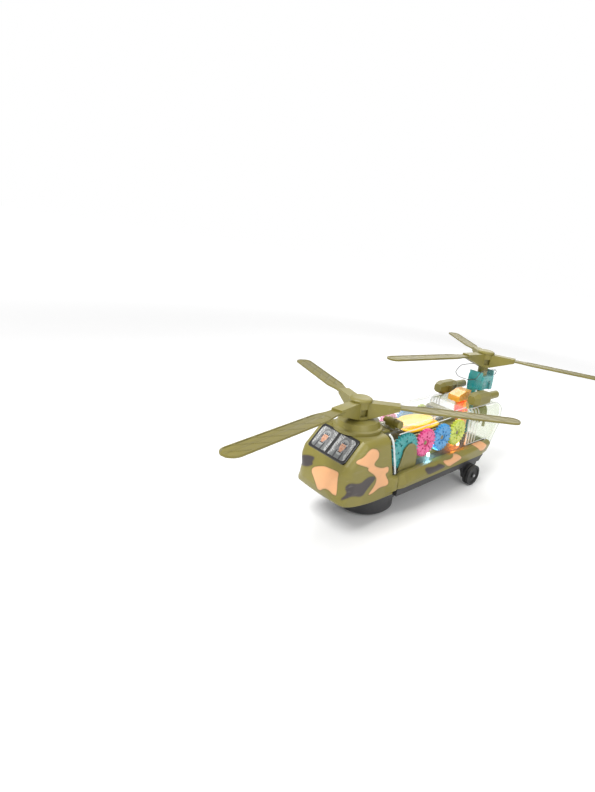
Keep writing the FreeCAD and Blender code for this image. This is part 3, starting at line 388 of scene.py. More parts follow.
def makePiece(name, sheets, body, material, replaced=(), fields=None, colours=None,
              sharp=38.0, wall=0.0):
    # sheets are (points, wrapRows, wrapCols) grids in millimetres, joined, welded and turned outwards
    points, faces, start = [], [], 0
    for grid, wrapRows, wrapCols in sheets:
        rows, cols = grid.shape[:2]
        points.append(grid.reshape(-1, 3))
        faces.append(gridFaces(rows, cols, wrapRows, wrapCols) + start)
        start += rows * cols
    points = np.concatenate(points) * mm
    faces = np.concatenate(faces)
    mesh = bpy.data.meshes.new(name)
    mesh.vertices.add(len(points))
    mesh.vertices.foreach_set("co", points.astype(np.float32).ravel())
    mesh.loops.add(faces.size)
    mesh.loops.foreach_set("vertex_index", faces.astype(np.int32).ravel())
    mesh.polygons.add(len(faces))
    mesh.polygons.foreach_set("loop_start", np.arange(0, faces.size, 4, dtype=np.int32))
    mesh.polygons.foreach_set("loop_total", np.full(len(faces), 4, dtype=np.int32))
    mesh.update(calc_edges=True)
    for label, values in (fields or {}).items():
        store = mesh.attributes.new(label, "FLOAT", "POINT")
        store.data.foreach_set("value", np.asarray(values, dtype=np.float32).ravel())
    for label, values in (colours or {}).items():
        store = mesh.attributes.new(label, "FLOAT_COLOR", "POINT")
        store.data.foreach_set("color", np.asarray(values, dtype=np.float32).ravel())
    work = bmesh.new()
    work.from_mesh(mesh)
    bmesh.ops.remove_doubles(work, verts=work.verts, dist=1e-5)
    bmesh.ops.recalc_face_normals(work, faces=work.faces)
    work.to_mesh(mesh)
    work.free()
    mesh.polygons.foreach_set("use_smooth", np.ones(len(mesh.polygons), dtype=bool))
    mesh.set_sharp_from_angle(angle=math.radians(sharp))
    piece = addObject(name, mesh)
    mesh.materials.append(material)
    if wall:
        solid = piece.modifiers.new("wall", "SOLIDIFY")
        solid.thickness = wall * mm
        solid.offset = -1.0
        solid.use_even_offset = False
    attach(piece, body)
    if replaced:
        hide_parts(*replaced)
    return piece


def between(points, count):
    # evenly spaced points along a line of corners
    points = np.asarray(points, float)
    lengths = np.linalg.norm(np.diff(points, axis=0), axis=1)
    marks = np.concatenate([[0], np.cumsum(lengths)])
    wanted = np.linspace(0, marks[-1], count)
    return np.stack([np.interp(wanted, marks, points[:, k]) for k in range(points.shape[1])], -1)


def rounded(points, rounds=3, closed=True):
    # corner cutting: each round replaces a corner by points a quarter and three quarters along its sides
    points = np.asarray(points, float)
    for _ in range(rounds):
        after = np.roll(points, -1, axis=0) if closed else points[1:]
        here = points if closed else points[:-1]
        cut = np.stack([0.75 * here + 0.25 * after, 0.25 * here + 0.75 * after], 1)
        cut = cut.reshape(-1, points.shape[1])
        points = cut if closed else np.vstack([points[:1], cut, points[-1:]])
    return points


def distanceTo(points, corners):
    # signed distance from flat points to a closed outline, negative inside it
    corners = rounded(corners, 2)
    nearest = np.full(len(points), 1e9)
    inside = np.zeros(len(points), bool)
    for a, b in zip(corners, np.roll(corners, -1, axis=0)):
        span = b - a
        share = np.clip(((points - a) @ span) / max(span @ span, 1e-9), 0, 1)
        nearest = np.minimum(nearest, np.linalg.norm(points - a - share[:, None] * span, axis=1))
        crosses = (a[1] > points[:, 1]) != (b[1] > points[:, 1])
        reach = a[0] + (points[:, 1] - a[1]) * span[0] / (span[1] if abs(span[1]) > 1e-9 else 1e-9)
        inside ^= crosses & (points[:, 0] < reach)
    return np.where(inside, -nearest, nearest)


def smooth(x, low, high):
    t = np.clip((x - low) / (high - low), 0, 1)
    return t * t * (3 - 2 * t)


def tube(path, radius, sides=12, closed=False):
    # a round section carried along a path; its frame comes from crossing with the upright,
    # or with a leaning guide where the path climbs steeply
    path = np.asarray(path, float)
    along = np.gradient(path, axis=0)
    along /= np.linalg.norm(along, axis=1)[:, None] + 1e-12
    guide = np.tile([0.0, 0.0, 1.0], (len(path), 1))
    if np.abs(along[:, 2]).max() > 0.92:
        guide[:] = [0.13, 0.9, 0.2]
    side = np.cross(along, guide)
    side /= np.linalg.norm(side, axis=1)[:, None]
    up = np.cross(side, along)
    angle = np.linspace(0, 2 * np.pi, sides, endpoint=False)
    size = np.broadcast_to(np.asarray(radius, float), (len(path),))[:, None, None]
    ring = np.cos(angle)[None, :, None] * side[:, None] + np.sin(angle)[None, :, None] * up[:, None]
    return path[:, None] + ring * size


def cappedTube(path, radius, sides=12):
    # the same, with both ends drawn in to their centres
    path = np.asarray(path, float)
    size = np.broadcast_to(np.asarray(radius, float), (len(path),)).copy()
    path = np.vstack([path[:1], path, path[-1:]])
    grid = tube(path + np.linspace(0, 1e-4, len(path))[:, None], np.concatenate([[0], size, [0]]), sides)
    grid[0], grid[-1] = path[0], path[-1]
    return grid, False, True


# camouflage patches: outlines along the body and upwards, or across the nose and upwards; past farFromInk
# from every outline the plastic is bare
farFromInk = 9.0
portPeach = [(31.3, 80.9), (23.5, 76.5), (22.3, 69.3), (27.8, 65.5), (26.1, 61.6), (15.3, 57.1), (7.9, 57.5),
             (7.2, 50.9), (11.8, 50.4), (5.4, 41.1), (5.8, 36.5), (16.6, 38.1), (25.0, 34.4), (31.6, 34.4),
             (23.9, 41.3), (21.6, 47.8), (25.9, 53.6), (35.6, 60.8), (33.3, 62.7), (50.2, 70.7), (49.7, 73.9),
             (41.7, 74.3), (36.4, 79.6)]
portCharcoal = [(60.3, 51.3), (55.0, 54.6), (42.2, 48.9), (34.5, 53.5), (25.7, 52.6), (22.9, 49.1),
                (32.6, 41.4), (38.1, 34.8), (49.1, 40.4), (60.8, 39.6), (63.9, 41.5), (55.6, 44.6)]
frontPeach = [(-8.5, 53.4), (7.7, 62.9), (21.6, 64.8), (29.5, 65.8), (28.2, 58.6), (29.5, 44.2), (25.9, 41.6),
              (18.5, 44.1), (12.7, 43.0), (4.9, 36.2), (-1.2, 45.3)]
frontCharcoal = [(-32.0, 49.6), (-21.2, 62.0), (-2.1, 67.2), (-6.8, 60.2), (-4.5, 57.7), (-16.0, 51.0),
                 (-28.0, 51.2)]
sponsonPatches = {
    "charcoal": [[(-37.9, 45.0), (-56.9, 41.7), (-63.8, 43.9), (-76.8, 36.2), (-59.9, 35.7), (-45.4, 34.8)]],
    "peach": [[(-66.5, 45.3), (-84.7, 42.6), (-93.0, 47.9), (-106.0, 39.2), (-90.0, 35.8), (-82.4, 33.6)],
              [(-127.5, 50.6), (-140.3, 46.5), (-146.1, 52.1), (-159.9, 39.6), (-143.9, 36.4)]],
}


def noseFields(points):
    # each patch is laid on along a slanting line, so that it runs round the corner without a break
    x, y, z = points.T
    port = np.stack([x + (32.8 - y) * 1.0, z + (32.8 - y) * 0.75], -1)
    star = np.stack([x + (32.8 + y) * 1.0, z + (32.8 + y) * 0.75], -1)
    front = np.stack([y + (64.0 - x) * 1.16, z + (64.0 - x) * 0.83], -1)
    isPort, isStar, isFront = y > 4, y < -14, x > 30
    far = np.full(len(points), farFromInk)
    peach = np.minimum(np.where(isPort, distanceTo(port, portPeach), far),
                       np.where(isFront, distanceTo(front, frontPeach), far))
    turned = [(a - 3.0, 118.0 - b) for a, b in portPeach]
    peach = np.minimum(peach, np.where(isStar & (x < 42), distanceTo(star, turned), far))
    charcoal = np.minimum(np.where(isPort, distanceTo(port, portCharcoal), far),
                          np.where(isFront & (y < 10), distanceTo(front, frontCharcoal), far))
    return np.clip(peach, -farFromInk, farFromInk), np.clip(charcoal, -farFromInk, farFromInk)


# nose shell
nose = {"half": 32.8, "wall": 1.4, "roofRound": 8.0, "chinRound": 17.0, "flare": 4.2, "screenSink": 1.0,
        "brow": 38.5, "screenFoot": 56.6, "screenDrop": 19.0, "sill": 42.0, "bow": 56.0}
noseLow, noseHigh = edges("nose_shell")


def noseProfile():
    # the side outline from the rear of the roof, down the windscreen and round the chin
    angles = np.linspace(0, 1, 24)
    tip, roof = noseHigh[0], noseHigh[2]
    top = np.array([(9.0, roof), (nose["brow"], roof), (nose["screenFoot"], roof - nose["screenDrop"])])
    low, high = np.array([tip, nose["sill"]]), top[2]
    middle = 0.5 * (low + high)
    bulge = np.array([high[1] - low[1], low[0] - high[0]])
    bulge = bulge / np.linalg.norm(bulge)
    rise = nose["bow"] - math.sqrt(nose["bow"] ** 2 - np.linalg.norm(high - low) ** 2 / 4)
    arc = high + (low - high) * angles[:, None] + bulge * rise * (4 * angles * (1 - angles))[:, None]
    chin = rounded([(tip, nose["sill"]), (tip - 1.1, 35.6), (60.5, 31.0), (52.0, 28.4), (42.0, 26.2),
                    (31.0, 24.4), (18.0, 23.5), (7.5, 23.4)], 2, closed=False)
    return np.vstack([between(top[:2], 34), between(top[1:], 40)[1:], arc[1:], between(chin, 76)[1:],
                      between([(7.5, 23.4), (noseLow[0], 23.4)], 10)[1:]])


def buildNose():
    line = noseProfile()
    rows = len(line)
    # the outline is drawn in towards a core, or straight down from the flat roof, to round the side edge
    core = np.array([18.0, 54.0])
    pull = core - line
    pull /= np.linalg.norm(pull, axis=1)[:, None]
    flat = 1 - smooth(np.arange(rows), 8, 33)
    pull = pull * (1 - flat[:, None]) + np.array([0.0, -1.0]) * flat[:, None]
    pull /= np.linalg.norm(pull, axis=1)[:, None]
    turn = nose["roofRound"] + (nose["chinRound"] - nose["roofRound"]) * smooth(-line[:, 1], -62, -48)
    turn = turn - (turn - 2.6) * smooth(-line[:, 1], -42, -28)
    quarter = np.linspace(0, np.pi / 2, 12)
    columns = []
    inner = line + pull * turn[:, None]
    # the rear edge runs from the roof down to the deck line and out to the flare
    rear = between([inner[0], (0.9, 46.0), (noseLow[0], 45.2), inner[-1]], rows)
    for share in np.linspace(1, 0, 30)[:-1]:
        place = inner * (1 - share) + rear * share
        columns.append((place, np.full(rows, nose["half"])))
    for angle in quarter:
        place = line + pull * (turn * (1 - np.sin(angle)))[:, None]
        columns.append((place, nose["half"] - turn * (1 - np.cos(angle))))
    side = [np.stack([p[:, 0], y, p[:, 1]], -1) for p, y in columns]
    edge = nose["half"] - turn
    # the roof, windscreen and front stop at the chin, so that the shell is open below
    front = int(np.argmax(line[:, 1] < 30.5)) + 1
    shares = np.linspace(1, -1, 60)
    across = np.stack([np.stack([line[:, 0], edge * share, line[:, 1]], -1) for share in shares], 1)
    walls = np.stack(side, 1)
    grid = np.concatenate([walls, across, (walls * [1, -1, 1])[:, ::-1]], 1)
    x, y, z = grid[..., 0], grid[..., 1], grid[..., 2]
    # the sides swell out to the sponsons, and the front face bows a little across its width
    swell = nose["flare"] * smooth(-x, -9, 0) * smooth(z, 27, 31) * (1 - smooth(z, 43.5, 46.5))
    y += np.sign(y) * swell * (np.abs(y) > 28)
    x -= 0.0016 * y ** 2 * smooth(x, 40, 60) * (1 - smooth(z, 60, 68))
    # the windscreen sits in a shallow recess
    slope = np.array([nose["screenFoot"] - nose["brow"], -nose["screenDrop"]])
    slope /= np.linalg.norm(slope)
    ahead, above = x - nose["brow"], z - 86.0
    down = ahead * slope[0] + above * slope[1]
    off = -ahead * slope[1] + above * slope[0]
    recess = smooth(down, 0.4, 1.4) * (1 - smooth(down, 24.8, 25.8)) * (1 - smooth(np.abs(y), 24.6, 25.4))
    recess = recess * (np.abs(off) < 1.0) * nose["screenSink"]
    x -= recess * -slope[1]
    z -= recess * slope[0]
    wide = walls.shape[1]
    # a tongue carries the turret over the front of the clear cover
    u, v = np.meshgrid(np.linspace(-3.6, 10.0, 20), np.linspace(-19.0, 19.0, 40), indexing="ij")
    drop = 2.2 * np.maximum(1 - smooth(u, -3.6, -2.6), smooth(np.abs(v), 18.0, 19.0))
    tongue = np.stack([u, v, 85.98 - drop], -1)
    parts = [grid[:, :wide], grid[:front, wide:-wide], grid[:, -wide:], tongue]
    peach, charcoal = noseFields(np.concatenate([part.reshape(-1, 3) for part in parts]))
    sheets = [(part, False, False) for part in parts]
    return makePiece("noseShell", sheets, "fuselage", materials["camouflage"], ("nose_shell",),
                     {"peachDistance": peach, "charcoalDistance": charcoal}, wall=nose["wall"], sharp=30)


noseShell = buildNose()
print("nose shell:", len(noseShell.data.polygons), "faces")

# windscreen picture
screen = {"half": 24.6, "length": 25.0, "corner": 3.0, "frame": 2.3, "post": 3.8, "relief": 0.5,
          "bend": 5.5, "paneMiddle": 12.0, "backing": 0.85, "black": (0.012, 0.012, 0.013)}


def pilot(a, b, centre, tall, lean, face):
    # one helmeted bust in a pane: all shapes are ovals and bands placed by plain head proportions
    grown, head = 1.16, 3.6
    u, w = ((a - centre) + lean * (b - tall)) / grown, (b - tall) / grown
    layers = []

    def oval(x, y, rx, ry, soft=0.12):
        return 1 - smooth(np.hypot((u - x) / rx, (w - y) / ry), 1 - soft, 1 + soft)
    layers.append((oval(0, -10.6, 7.2, 6.6), (0.16, 0.17, 0.17)))
    layers.append((oval(0, -6.0, 3.1, 1.7), (0.34, 0.35, 0.34)))
    layers.append((oval(-3.2, -8.4, 0.8, 4.2) + oval(3.2, -8.4, 0.8, 4.2), (0.05, 0.05, 0.055)))
    layers.append((oval(0, -4.2, 1.5, 1.6), (face[0] * 0.7, face[1] * 0.6, face[2] * 0.6)))
    layers.append((oval(0, 0.5, head * 1.06, head * 1.2), (0.42, 0.43, 0.42)))
    layers.append((oval(-3.4, -0.8, 1.0, 1.6) + oval(3.4, -0.8, 1.0, 1.6), (0.1, 0.1, 0.11)))
    layers.append((oval(0, -0.9, head * 0.74, head), face))
    layers.append((oval(0, -3.0, 1.7, 1.1) * 0.35, (face[0] * 0.7, face[1] * 0.6, face[2] * 0.55)))
    for side in (-1, 1):
        layers.append((oval(side * 1.15, -0.9, 0.55, 0.26), (0.75, 0.72, 0.68)))
        layers.append((oval(side * 1.15, -0.9, 0.24, 0.26), (0.03, 0.02, 0.015)))
        layers.append((oval(side * 1.15, -0.25, 0.75, 0.16), (0.08, 0.04, 0.02)))
    layers.append((oval(0, -1.7, 0.36, 0.75) * 0.5, (face[0] * 0.75, face[1] * 0.62, face[2] * 0.55)))
    layers.append((oval(0, -2.75, 0.85, 0.18), (0.35, 0.09, 0.07)))
    layers.append((oval(0, 2.6, head * 1.02, 1.5) * (w > 0.9), (0.3, 0.31, 0.31)))
    layers.append((oval(-1.35, 2.0, 1.3, 0.85) + oval(1.35, 2.0, 1.3, 0.85), (0.02, 0.022, 0.03)))
    layers.append((oval(-1.6, 2.2, 0.5, 0.28) + oval(1.1, 2.2, 0.5, 0.28), (0.5, 0.55, 0.6)))
    layers.append((oval(0, -5.6, 3.0, 0.35) * (w < -4.6), (0.02, 0.02, 0.02)))
    return layers


def paintScreen(a, b):
    # silver cockpit behind two panes: seat backs, panels and bright creases from crossed waves
    crease = np.sin(a * 1.9 + 2.2 * np.sin(b * 0.9)) * np.sin(b * 1.55 + 1.8 * np.sin(a * 0.7))
    fine = np.sin(a * 5.3 + 3 * np.sin(b * 2.1)) * np.sin(b * 4.7 + 2 * np.sin(a * 1.7))
    grey = 0.36 + 0.22 * crease + 0.12 * fine
    colour = np.stack([grey, grey * 1.01, grey * 1.0], -1)

    def lay(mask, paint):
        nonlocal colour
        mask = np.clip(mask, 0, 1)[..., None]
        colour = colour * (1 - mask) + np.asarray(paint) * mask
    for side in (-1, 1):
        middle = side * screen["paneMiddle"]
        seat = 1 - smooth(np.hypot((a - middle) / 7.5, (b - 12.5) / 11.5), 0.9, 1.0)
        lay(seat * 0.75, (0.12, 0.12, 0.125))
        lay((1 - smooth(np.abs(a - middle), 8.6, 9.0)) * (1 - smooth(b, 2.6, 3.2)), (0.06, 0.06, 0.065))
        for mask, paint in pilot(a, b, middle - 0.6, 14.6, 0.05 * side, (0.62, 0.32, 0.2)):
            lay(mask, paint)
    half, tall, bend = screen["half"], screen["length"], screen["bend"]
    gap = np.minimum(np.minimum(half - np.abs(a), b), tall - b)
    overA = np.maximum(np.abs(a) - (half - bend), 0)
    overB = np.maximum(np.abs(b - tall / 2) - (tall / 2 - bend), 0)
    gap = np.minimum(gap, bend - np.hypot(overA, overB))
    post = np.abs(a + 0.2) - screen["post"] / 2
    frameMask = np.maximum(1 - smooth(gap, screen["frame"] - 0.15, screen["frame"] + 0.15),
                           1 - smooth(post, -0.15, 0.15))
    lay(frameMask, screen["black"])
    solid = np.ones(colour.shape[:-1] + (1,))
    return np.concatenate([np.clip(colour, 0, 1), solid], -1), frameMask


def buildScreen():
    # a sheet along the slope; its edge is squared off to a rounded rectangle, the frame stands up a little
    along = np.array([nose["screenFoot"] - nose["brow"], 0, -nose["screenDrop"]])
    along /= np.linalg.norm(along)
    out = np.array([-along[2], 0, along[0]])
    s, t = np.meshgrid(np.linspace(0, 1, 220), np.linspace(-1, 1, 400), indexing="ij")
    a, b = t * screen["half"], (1 - s) * screen["length"]
    colour, frameMask = paintScreen(a, b)
    # corners: points past the rounded corner slide back on to it
    corner, middle = screen["corner"], screen["length"] / 2
    flatA, flatB = screen["half"] - corner, middle - corner
    pastA, pastB = np.abs(a) - flatA, np.abs(b - middle) - flatB
    beyond = (pastA > 0) & (pastB > 0)
    reach = np.hypot(pastA, pastB)
    keep = np.where(beyond & (reach > corner), corner / np.maximum(reach, 1e-6), 1.0)
    a = np.where(beyond, np.sign(a) * (flatA + pastA * keep), a)
    b = np.where(beyond, middle + np.sign(b - middle) * (flatB + pastB * keep), b)
    rim = 1 - smooth(np.abs(t), 0.985, 1.0)
    rise = 0.05 + screen["relief"] * frameMask * rim * smooth(s, 0, 0.02) * (1 - smooth(s, 0.98, 1.0))
    start = np.array([nose["brow"], 0, noseHigh[2]]) + along * 0.62
    depth = screen["length"] - b
    top = start + along * depth[..., None] + out * rise[..., None]
    top[..., 1] = a
    back = top - out * (screen["backing"] + rise[..., None])
    rings = [np.concatenate([face[0], face[1:, -1], face[-1, ::-1][1:], face[::-1, 0][1:]])
             for face in (top, back)]
    black = np.tile([*screen["black"], 1.0], (2 * len(rings[0]), 1))
    sheets = [(top, False, False), (np.stack(rings), False, False)]
    colours = np.concatenate([colour.reshape(-1, 4), black])
    return makePiece("windscreenPicture", sheets, "fuselage", materials["print"],
                     ("windscreen_panel",), colours={"picture": colours}, sharp=60)


windscreenPicture = buildScreen()
print("windscreen:", len(windscreenPicture.data.polygons), "faces")

# sponsons
def buildSponson(side, label):
    # five-cornered sections from front to rear, blended lengthwise; corners are rounded by corner cutting
    low, high = edges(label + "_sponson")
    stations = np.array([high[0], high[0] - 7.8, low[0] + 17, low[0]])
    corners = [[(36, 30), (37, 36), (34.5, 44)], [(38, 30), (40.5, 36), (36.5, 46.3)],
               [(37.5, 30), (40.5, 43.5), (36.5, 46.3)], [(34, 30), (37.5, 42), (35, 45.5)]]
    nearFront, plain = np.linspace(stations[0], stations[1], 8), np.linspace(stations[1], stations[2], 170)
    x = np.concatenate([nearFront, plain[1:], np.linspace(stations[2], stations[3], 20)[1:]])
    tables = []
    for (b, lowZ), (o, creaseZ), (s, topZ) in corners:
        tables.append([(31.2, lowZ), (b - 0.8, lowZ), (b, lowZ + 0.6), (o, creaseZ - 0.8), (o, creaseZ + 0.8),
                       (s + 0.6, topZ - 0.5), (s - 0.8, topZ), (31.2, topZ)])
    tables = np.array(tables)
    order = np.argsort(stations)
    blend = np.stack([[np.interp(x, stations[order], tables[order, k, c]) for c in (0, 1)]
                      for k in range(tables.shape[1])], 0).transpose(2, 0, 1)
    count = 50
    fineSteps = np.linspace(0, tables.shape[1] - 1, count)
    first = np.clip(np.floor(fineSteps).astype(int), 0, tables.shape[1] - 2)
    share = (fineSteps - first)[None, :, None]
    section = blend[:, first] * (1 - share) + blend[:, first + 1] * share
    grid = np.stack([np.repeat(x[:, None], count, 1), side * section[..., 0], section[..., 1]], -1)
    # a raised step plate begins a little behind the front end
    plate = smooth(-grid[..., 0], 17, 18.5) * (1 - smooth(-grid[..., 0], 146, 148))
    upper = smooth(fineSteps, 4.05, 4.25) * (1 - smooth(fineSteps, 4.8, 4.95))
    grid[..., 1] += side * 0.35 * plate * upper[None, :]
    centre = grid.mean(axis=1, keepdims=True)
    front = np.stack([np.repeat(centre[0], count, 0), grid[0]])
    rearEnd = np.stack([grid[-1], np.repeat(centre[-1], count, 0)])
    points = np.concatenate([front.reshape(-1, 3), grid.reshape(-1, 3), rearEnd.reshape(-1, 3)])
    flat = points[:, [0, 2]]
    fields = {}
    for ink in ("peach", "charcoal"):
        value = np.full(len(points), farFromInk)
        for patch in sponsonPatches[ink]:
            value = np.minimum(value, distanceTo(flat, patch))
        fields[ink + "Distance"] = np.clip(value, -farFromInk, farFromInk)
    sheets = [(front, False, True), (grid, False, True), (rearEnd, False, True)]
    return makePiece(label + "SponsonPanel", sheets, "fuselage", materials["camouflage"],
                     (label + "_sponson",), fields, sharp=24)


buildSponson(1, "left")
buildSponson(-1, "right")
print("sponsons done")

# rotor blades
blade = {"root": 30.0, "tip": 150.0, "tipRound": 8.0, "chord": 16.5, "neck": 11.0, "skin": 0.35,
         "ribs": 5, "firstRib": 58.0, "lastRib": 143.0, "spine": 0.9}
rotors = {"front": {"body": "front_rotor", "turn": 14.5}, "rear": {"body": "rear_rotor", "turn": 232.2}}


def buildBlade(rotorName, number):
    # plan: neck, widening to the full chord, round tip; the top carries a rim, a sunk panel and slanting ribs
    facts = rotors[rotorName]
    capMiddle, bladeMiddle = (sum(edges(f"{rotorName}_{part}")) / 2 for part in ("rotor_cap", "blade_1"))
    centre = np.array([capMiddle[0], capMiddle[1], bladeMiddle[2]])
    roundEnd = blade["tipRound"]
    straight = blade["tip"] - roundEnd
    tipSteps = np.sin(np.linspace(0, np.pi / 2, 18))[1:]
    r = np.concatenate([np.linspace(blade["root"], straight, 230), straight + roundEnd * tipSteps])
    half = blade["neck"] / 2 + (blade["chord"] - blade["neck"]) / 2 * smooth(r, 40, 60)
    half = half * np.sqrt(np.clip(1 - (np.clip(r - straight, 0, roundEnd) / roundEnd) ** 2, 0, 1))
    t = np.sin(np.linspace(-np.pi / 2, np.pi / 2, 41))
    y = half[:, None] * t[None]
    x = np.repeat(r[:, None], len(t), 1)
    inEdge = np.minimum(half[:, None] * (1 - np.abs(t))[None], np.minimum(x - blade["root"], 30.0))
    inEdge = np.minimum(inEdge, blade["tip"] - x)
    rim = smooth(inEdge, 0.0, 0.35)
    panel = smooth(inEdge, 1.2, 1.6) * smooth(x, 50, 52)
    spacing = (blade["lastRib"] - blade["firstRib"]) / blade["ribs"]
    phase = np.abs(((x + 1.5 * y - blade["firstRib"]) / spacing + 0.5) % 1 - 0.5) * spacing
    ribbed = panel * (x > 56) * (x < 146)
    ribs = (1 - smooth(phase, 0.7, 1.15)) * ribbed
    offSpine = np.abs(y + blade["spine"])
    spine = (1 - smooth(offSpine, 0.45, 0.85)) * panel
    top = blade["skin"] + 0.6 * rim - 0.5 * panel + 0.42 * np.maximum(ribs, spine * 0.6)
    # painted shade: the value is highest in narrow valleys beside the ribs, the spine and the rim, and weaker
    # on the underside
    paintedGrooveShade = np.exp(-((phase - 1.3) / 0.4) ** 2) * ribbed
    paintedGrooveShade = np.maximum(paintedGrooveShade, np.exp(-((offSpine - 1.0) / 0.3) ** 2) * panel * 0.7)
    paintedGrooveShade = np.maximum(paintedGrooveShade, np.exp(-((inEdge - 1.6) / 0.35) ** 2) * smooth(x, 50, 52) * 0.8)
    paintedGrooveShade = np.concatenate([paintedGrooveShade, paintedGrooveShade[:, ::-1] * 0.3], 1)
    paintedGrooveShade = np.concatenate([paintedGrooveShade[:1], paintedGrooveShade], 0)
    bottom = -(blade["skin"] + 0.6 * rim) + 0.25 * panel
    faces = [(x, x), (y, y), (top, bottom)]
    local = np.stack([np.concatenate([upper, lower[:, ::-1]], 1) for upper, lower in faces], -1)
    first = local[:1] * [1, 0, 0]
    local = np.concatenate([np.repeat(first[:, :1], local.shape[1], 1), local], 0)
    local[-1, :, 1:] = 0
    angle = math.radians(facts["turn"] + 120 * (number - 1))
    c, s = math.cos(angle), math.sin(angle)
    grid = local @ np.array([[c, -s, 0], [s, c, 0], [0, 0, 1]]).T + centre
    return makePiece(f"{rotorName}Blade{number}", [(grid, False, True)], facts["body"],
                     materials["blade"], (f"{rotorName}_blade_{number}",), {"paintedGrooveShade": paintedGrooveShade}, sharp=50)


blades = [buildBlade(which, number) for which in rotors for number in (1, 2, 3)]
print("blades done:", len(blades[0].data.polygons), "faces each")

# clear rims
rims = {"shellEdge": 1.0, "pylonEdge": 0.42, "pylonHalf": 15.0}


def buildShellRim():
    # a bright bead of clear plastic where the cover meets the nose, one per side, from the sill to the roof;
    # the join is real, its whitish colour is painted highlight
    sheets = []
    for side in (-1, 1):
        corners = [(-1.4, side * 33.4, 47.0), (0.4, side * 33.4, 56.0), (5.2, side * 33.3, 76.0),
                   (6.6, side * 32.6, 82.0), (7.0, side * 30.4, 85.2), (7.0, side * 27.5, 86.4)]
        path = between(rounded(corners, 3, closed=False), 60)
        sheets.append(cappedTube(path, rims["shellEdge"], 14))
    return makePiece("coverRim", sheets, "fuselage", materials["rim"], sharp=60)


buildShellRim()

tailPath = {"reach": -edges("tail_cover")[0][0], "bead": 0.55}


def tailOutline():
    # the side outline of the clear tail, from its front foot round the rear to the roof
    reach = tailPath["reach"]
    turn = np.linspace(0, np.pi / 2, 14)
    corner = np.stack([-reach + 15 - 15 * np.cos(turn), 75.5 + 14.6 * np.sin(turn)], -1)
    return np.vstack([[(-122.4, 47.0), (-168.0, 46.6), (-170.0, 34.4), (-179.0, 34.4),
                       (-reach + 0.4, 59.0)], corner, [(-122.4, 90.1)]])


def buildClearEdges():
    # bright beads where clear walls meet: tail outline, cover shoulders and the upright flutes of the tail;
    # the edges and flutes are real, their whitish colour is painted highlight
    sheets = []
    line = between(tailOutline(), 160)
    for side in (-1, 1):
        away = np.where(line[:, 1] > 82, 29.6 - (line[:, 1] - 82) * 0.35, 29.8)
        sheets.append(cappedTube(np.stack([line[:, 0], side * away, line[:, 1]], -1), tailPath["bead"], 8))
        shoulder = between([(-4.0, side * 29.8, 84.9), (-121.6, side * 29.8, 88.9)], 40)
        sheets.append(cappedTube(shoulder, 0.5, 8))
        ridge = between([(-14.0, side * 22.5, 86.9), (-121.6, side * 22.5, 90.7)], 40)
        sheets.append(cappedTube(ridge, 0.45, 8))
        for place, size in ((-123.2, 1.1), (-129.0, 0.8), (-135.0, 0.8), (-141.0, 0.7)):
            bends = [(29.4, 47.2), (29.4, 82.0), (27.6, 86.6), (24.4, 89.0)]
            flute = between([(place, side * out, up) for out, up in bends], 40)
            sheets.append(cappedTube(flute, size, 10))
    return makePiece("clearEdges", sheets, "fuselage", materials["rim"], sharp=60)


def buildPylonRim():
    # a thin dark lip round the open top of the pylon, dipping at its front and rear
    turn = np.linspace(0, 1, 12)
    front = np.stack([-140.6 - 15.4 * turn, 117.2 + 11.0 * np.sin(turn * np.pi / 2)], -1)
    side = np.vstack([front, [(-187.8, 128.2), (-195.4, 117.4)]])
    port = np.stack([side[:, 0], np.full(len(side), rims["pylonHalf"]), side[:, 1]], -1)
    port = port[(port[:, 0] < -143) & (port[:, 0] > -194)]
    star = (port * [1, -1, 1])[::-1]
    ahead = [(-140.7, 9.0, 117.0), (-140.4, 0.0, 116.8), (-140.7, -9.0, 117.0)]
    behind = [(-195.6, -9.0, 117.2), (-195.8, 0, 117.2), (-195.6, 9, 117.2)]
    loop = rounded(np.vstack([port[::-1], ahead, star[::-1], behind]), 2)
    path = between(np.vstack([loop, loop[:1]]), 260)[:-1]
    return makePiece("pylonRim", [(tube(path, rims["pylonEdge"], 8), True, True)], "fuselage",
                     materials["black"], sharp=60)


buildClearEdges()
buildPylonRim()

# light dish
dish = {"long": 26.8, "short": 14.3, "bedLong": 26.6, "bedShort": 17.5, "squareness": 0.45}


def dishProfile(spread, height, count):
    # evenly numbered steps through the listed shares of the full width and the heights
    marks, steps = np.linspace(0, 1, len(spread)), np.linspace(0, 1, count)
    return np.interp(steps, marks, spread)[:, None], np.interp(steps, marks, height)[:, None]


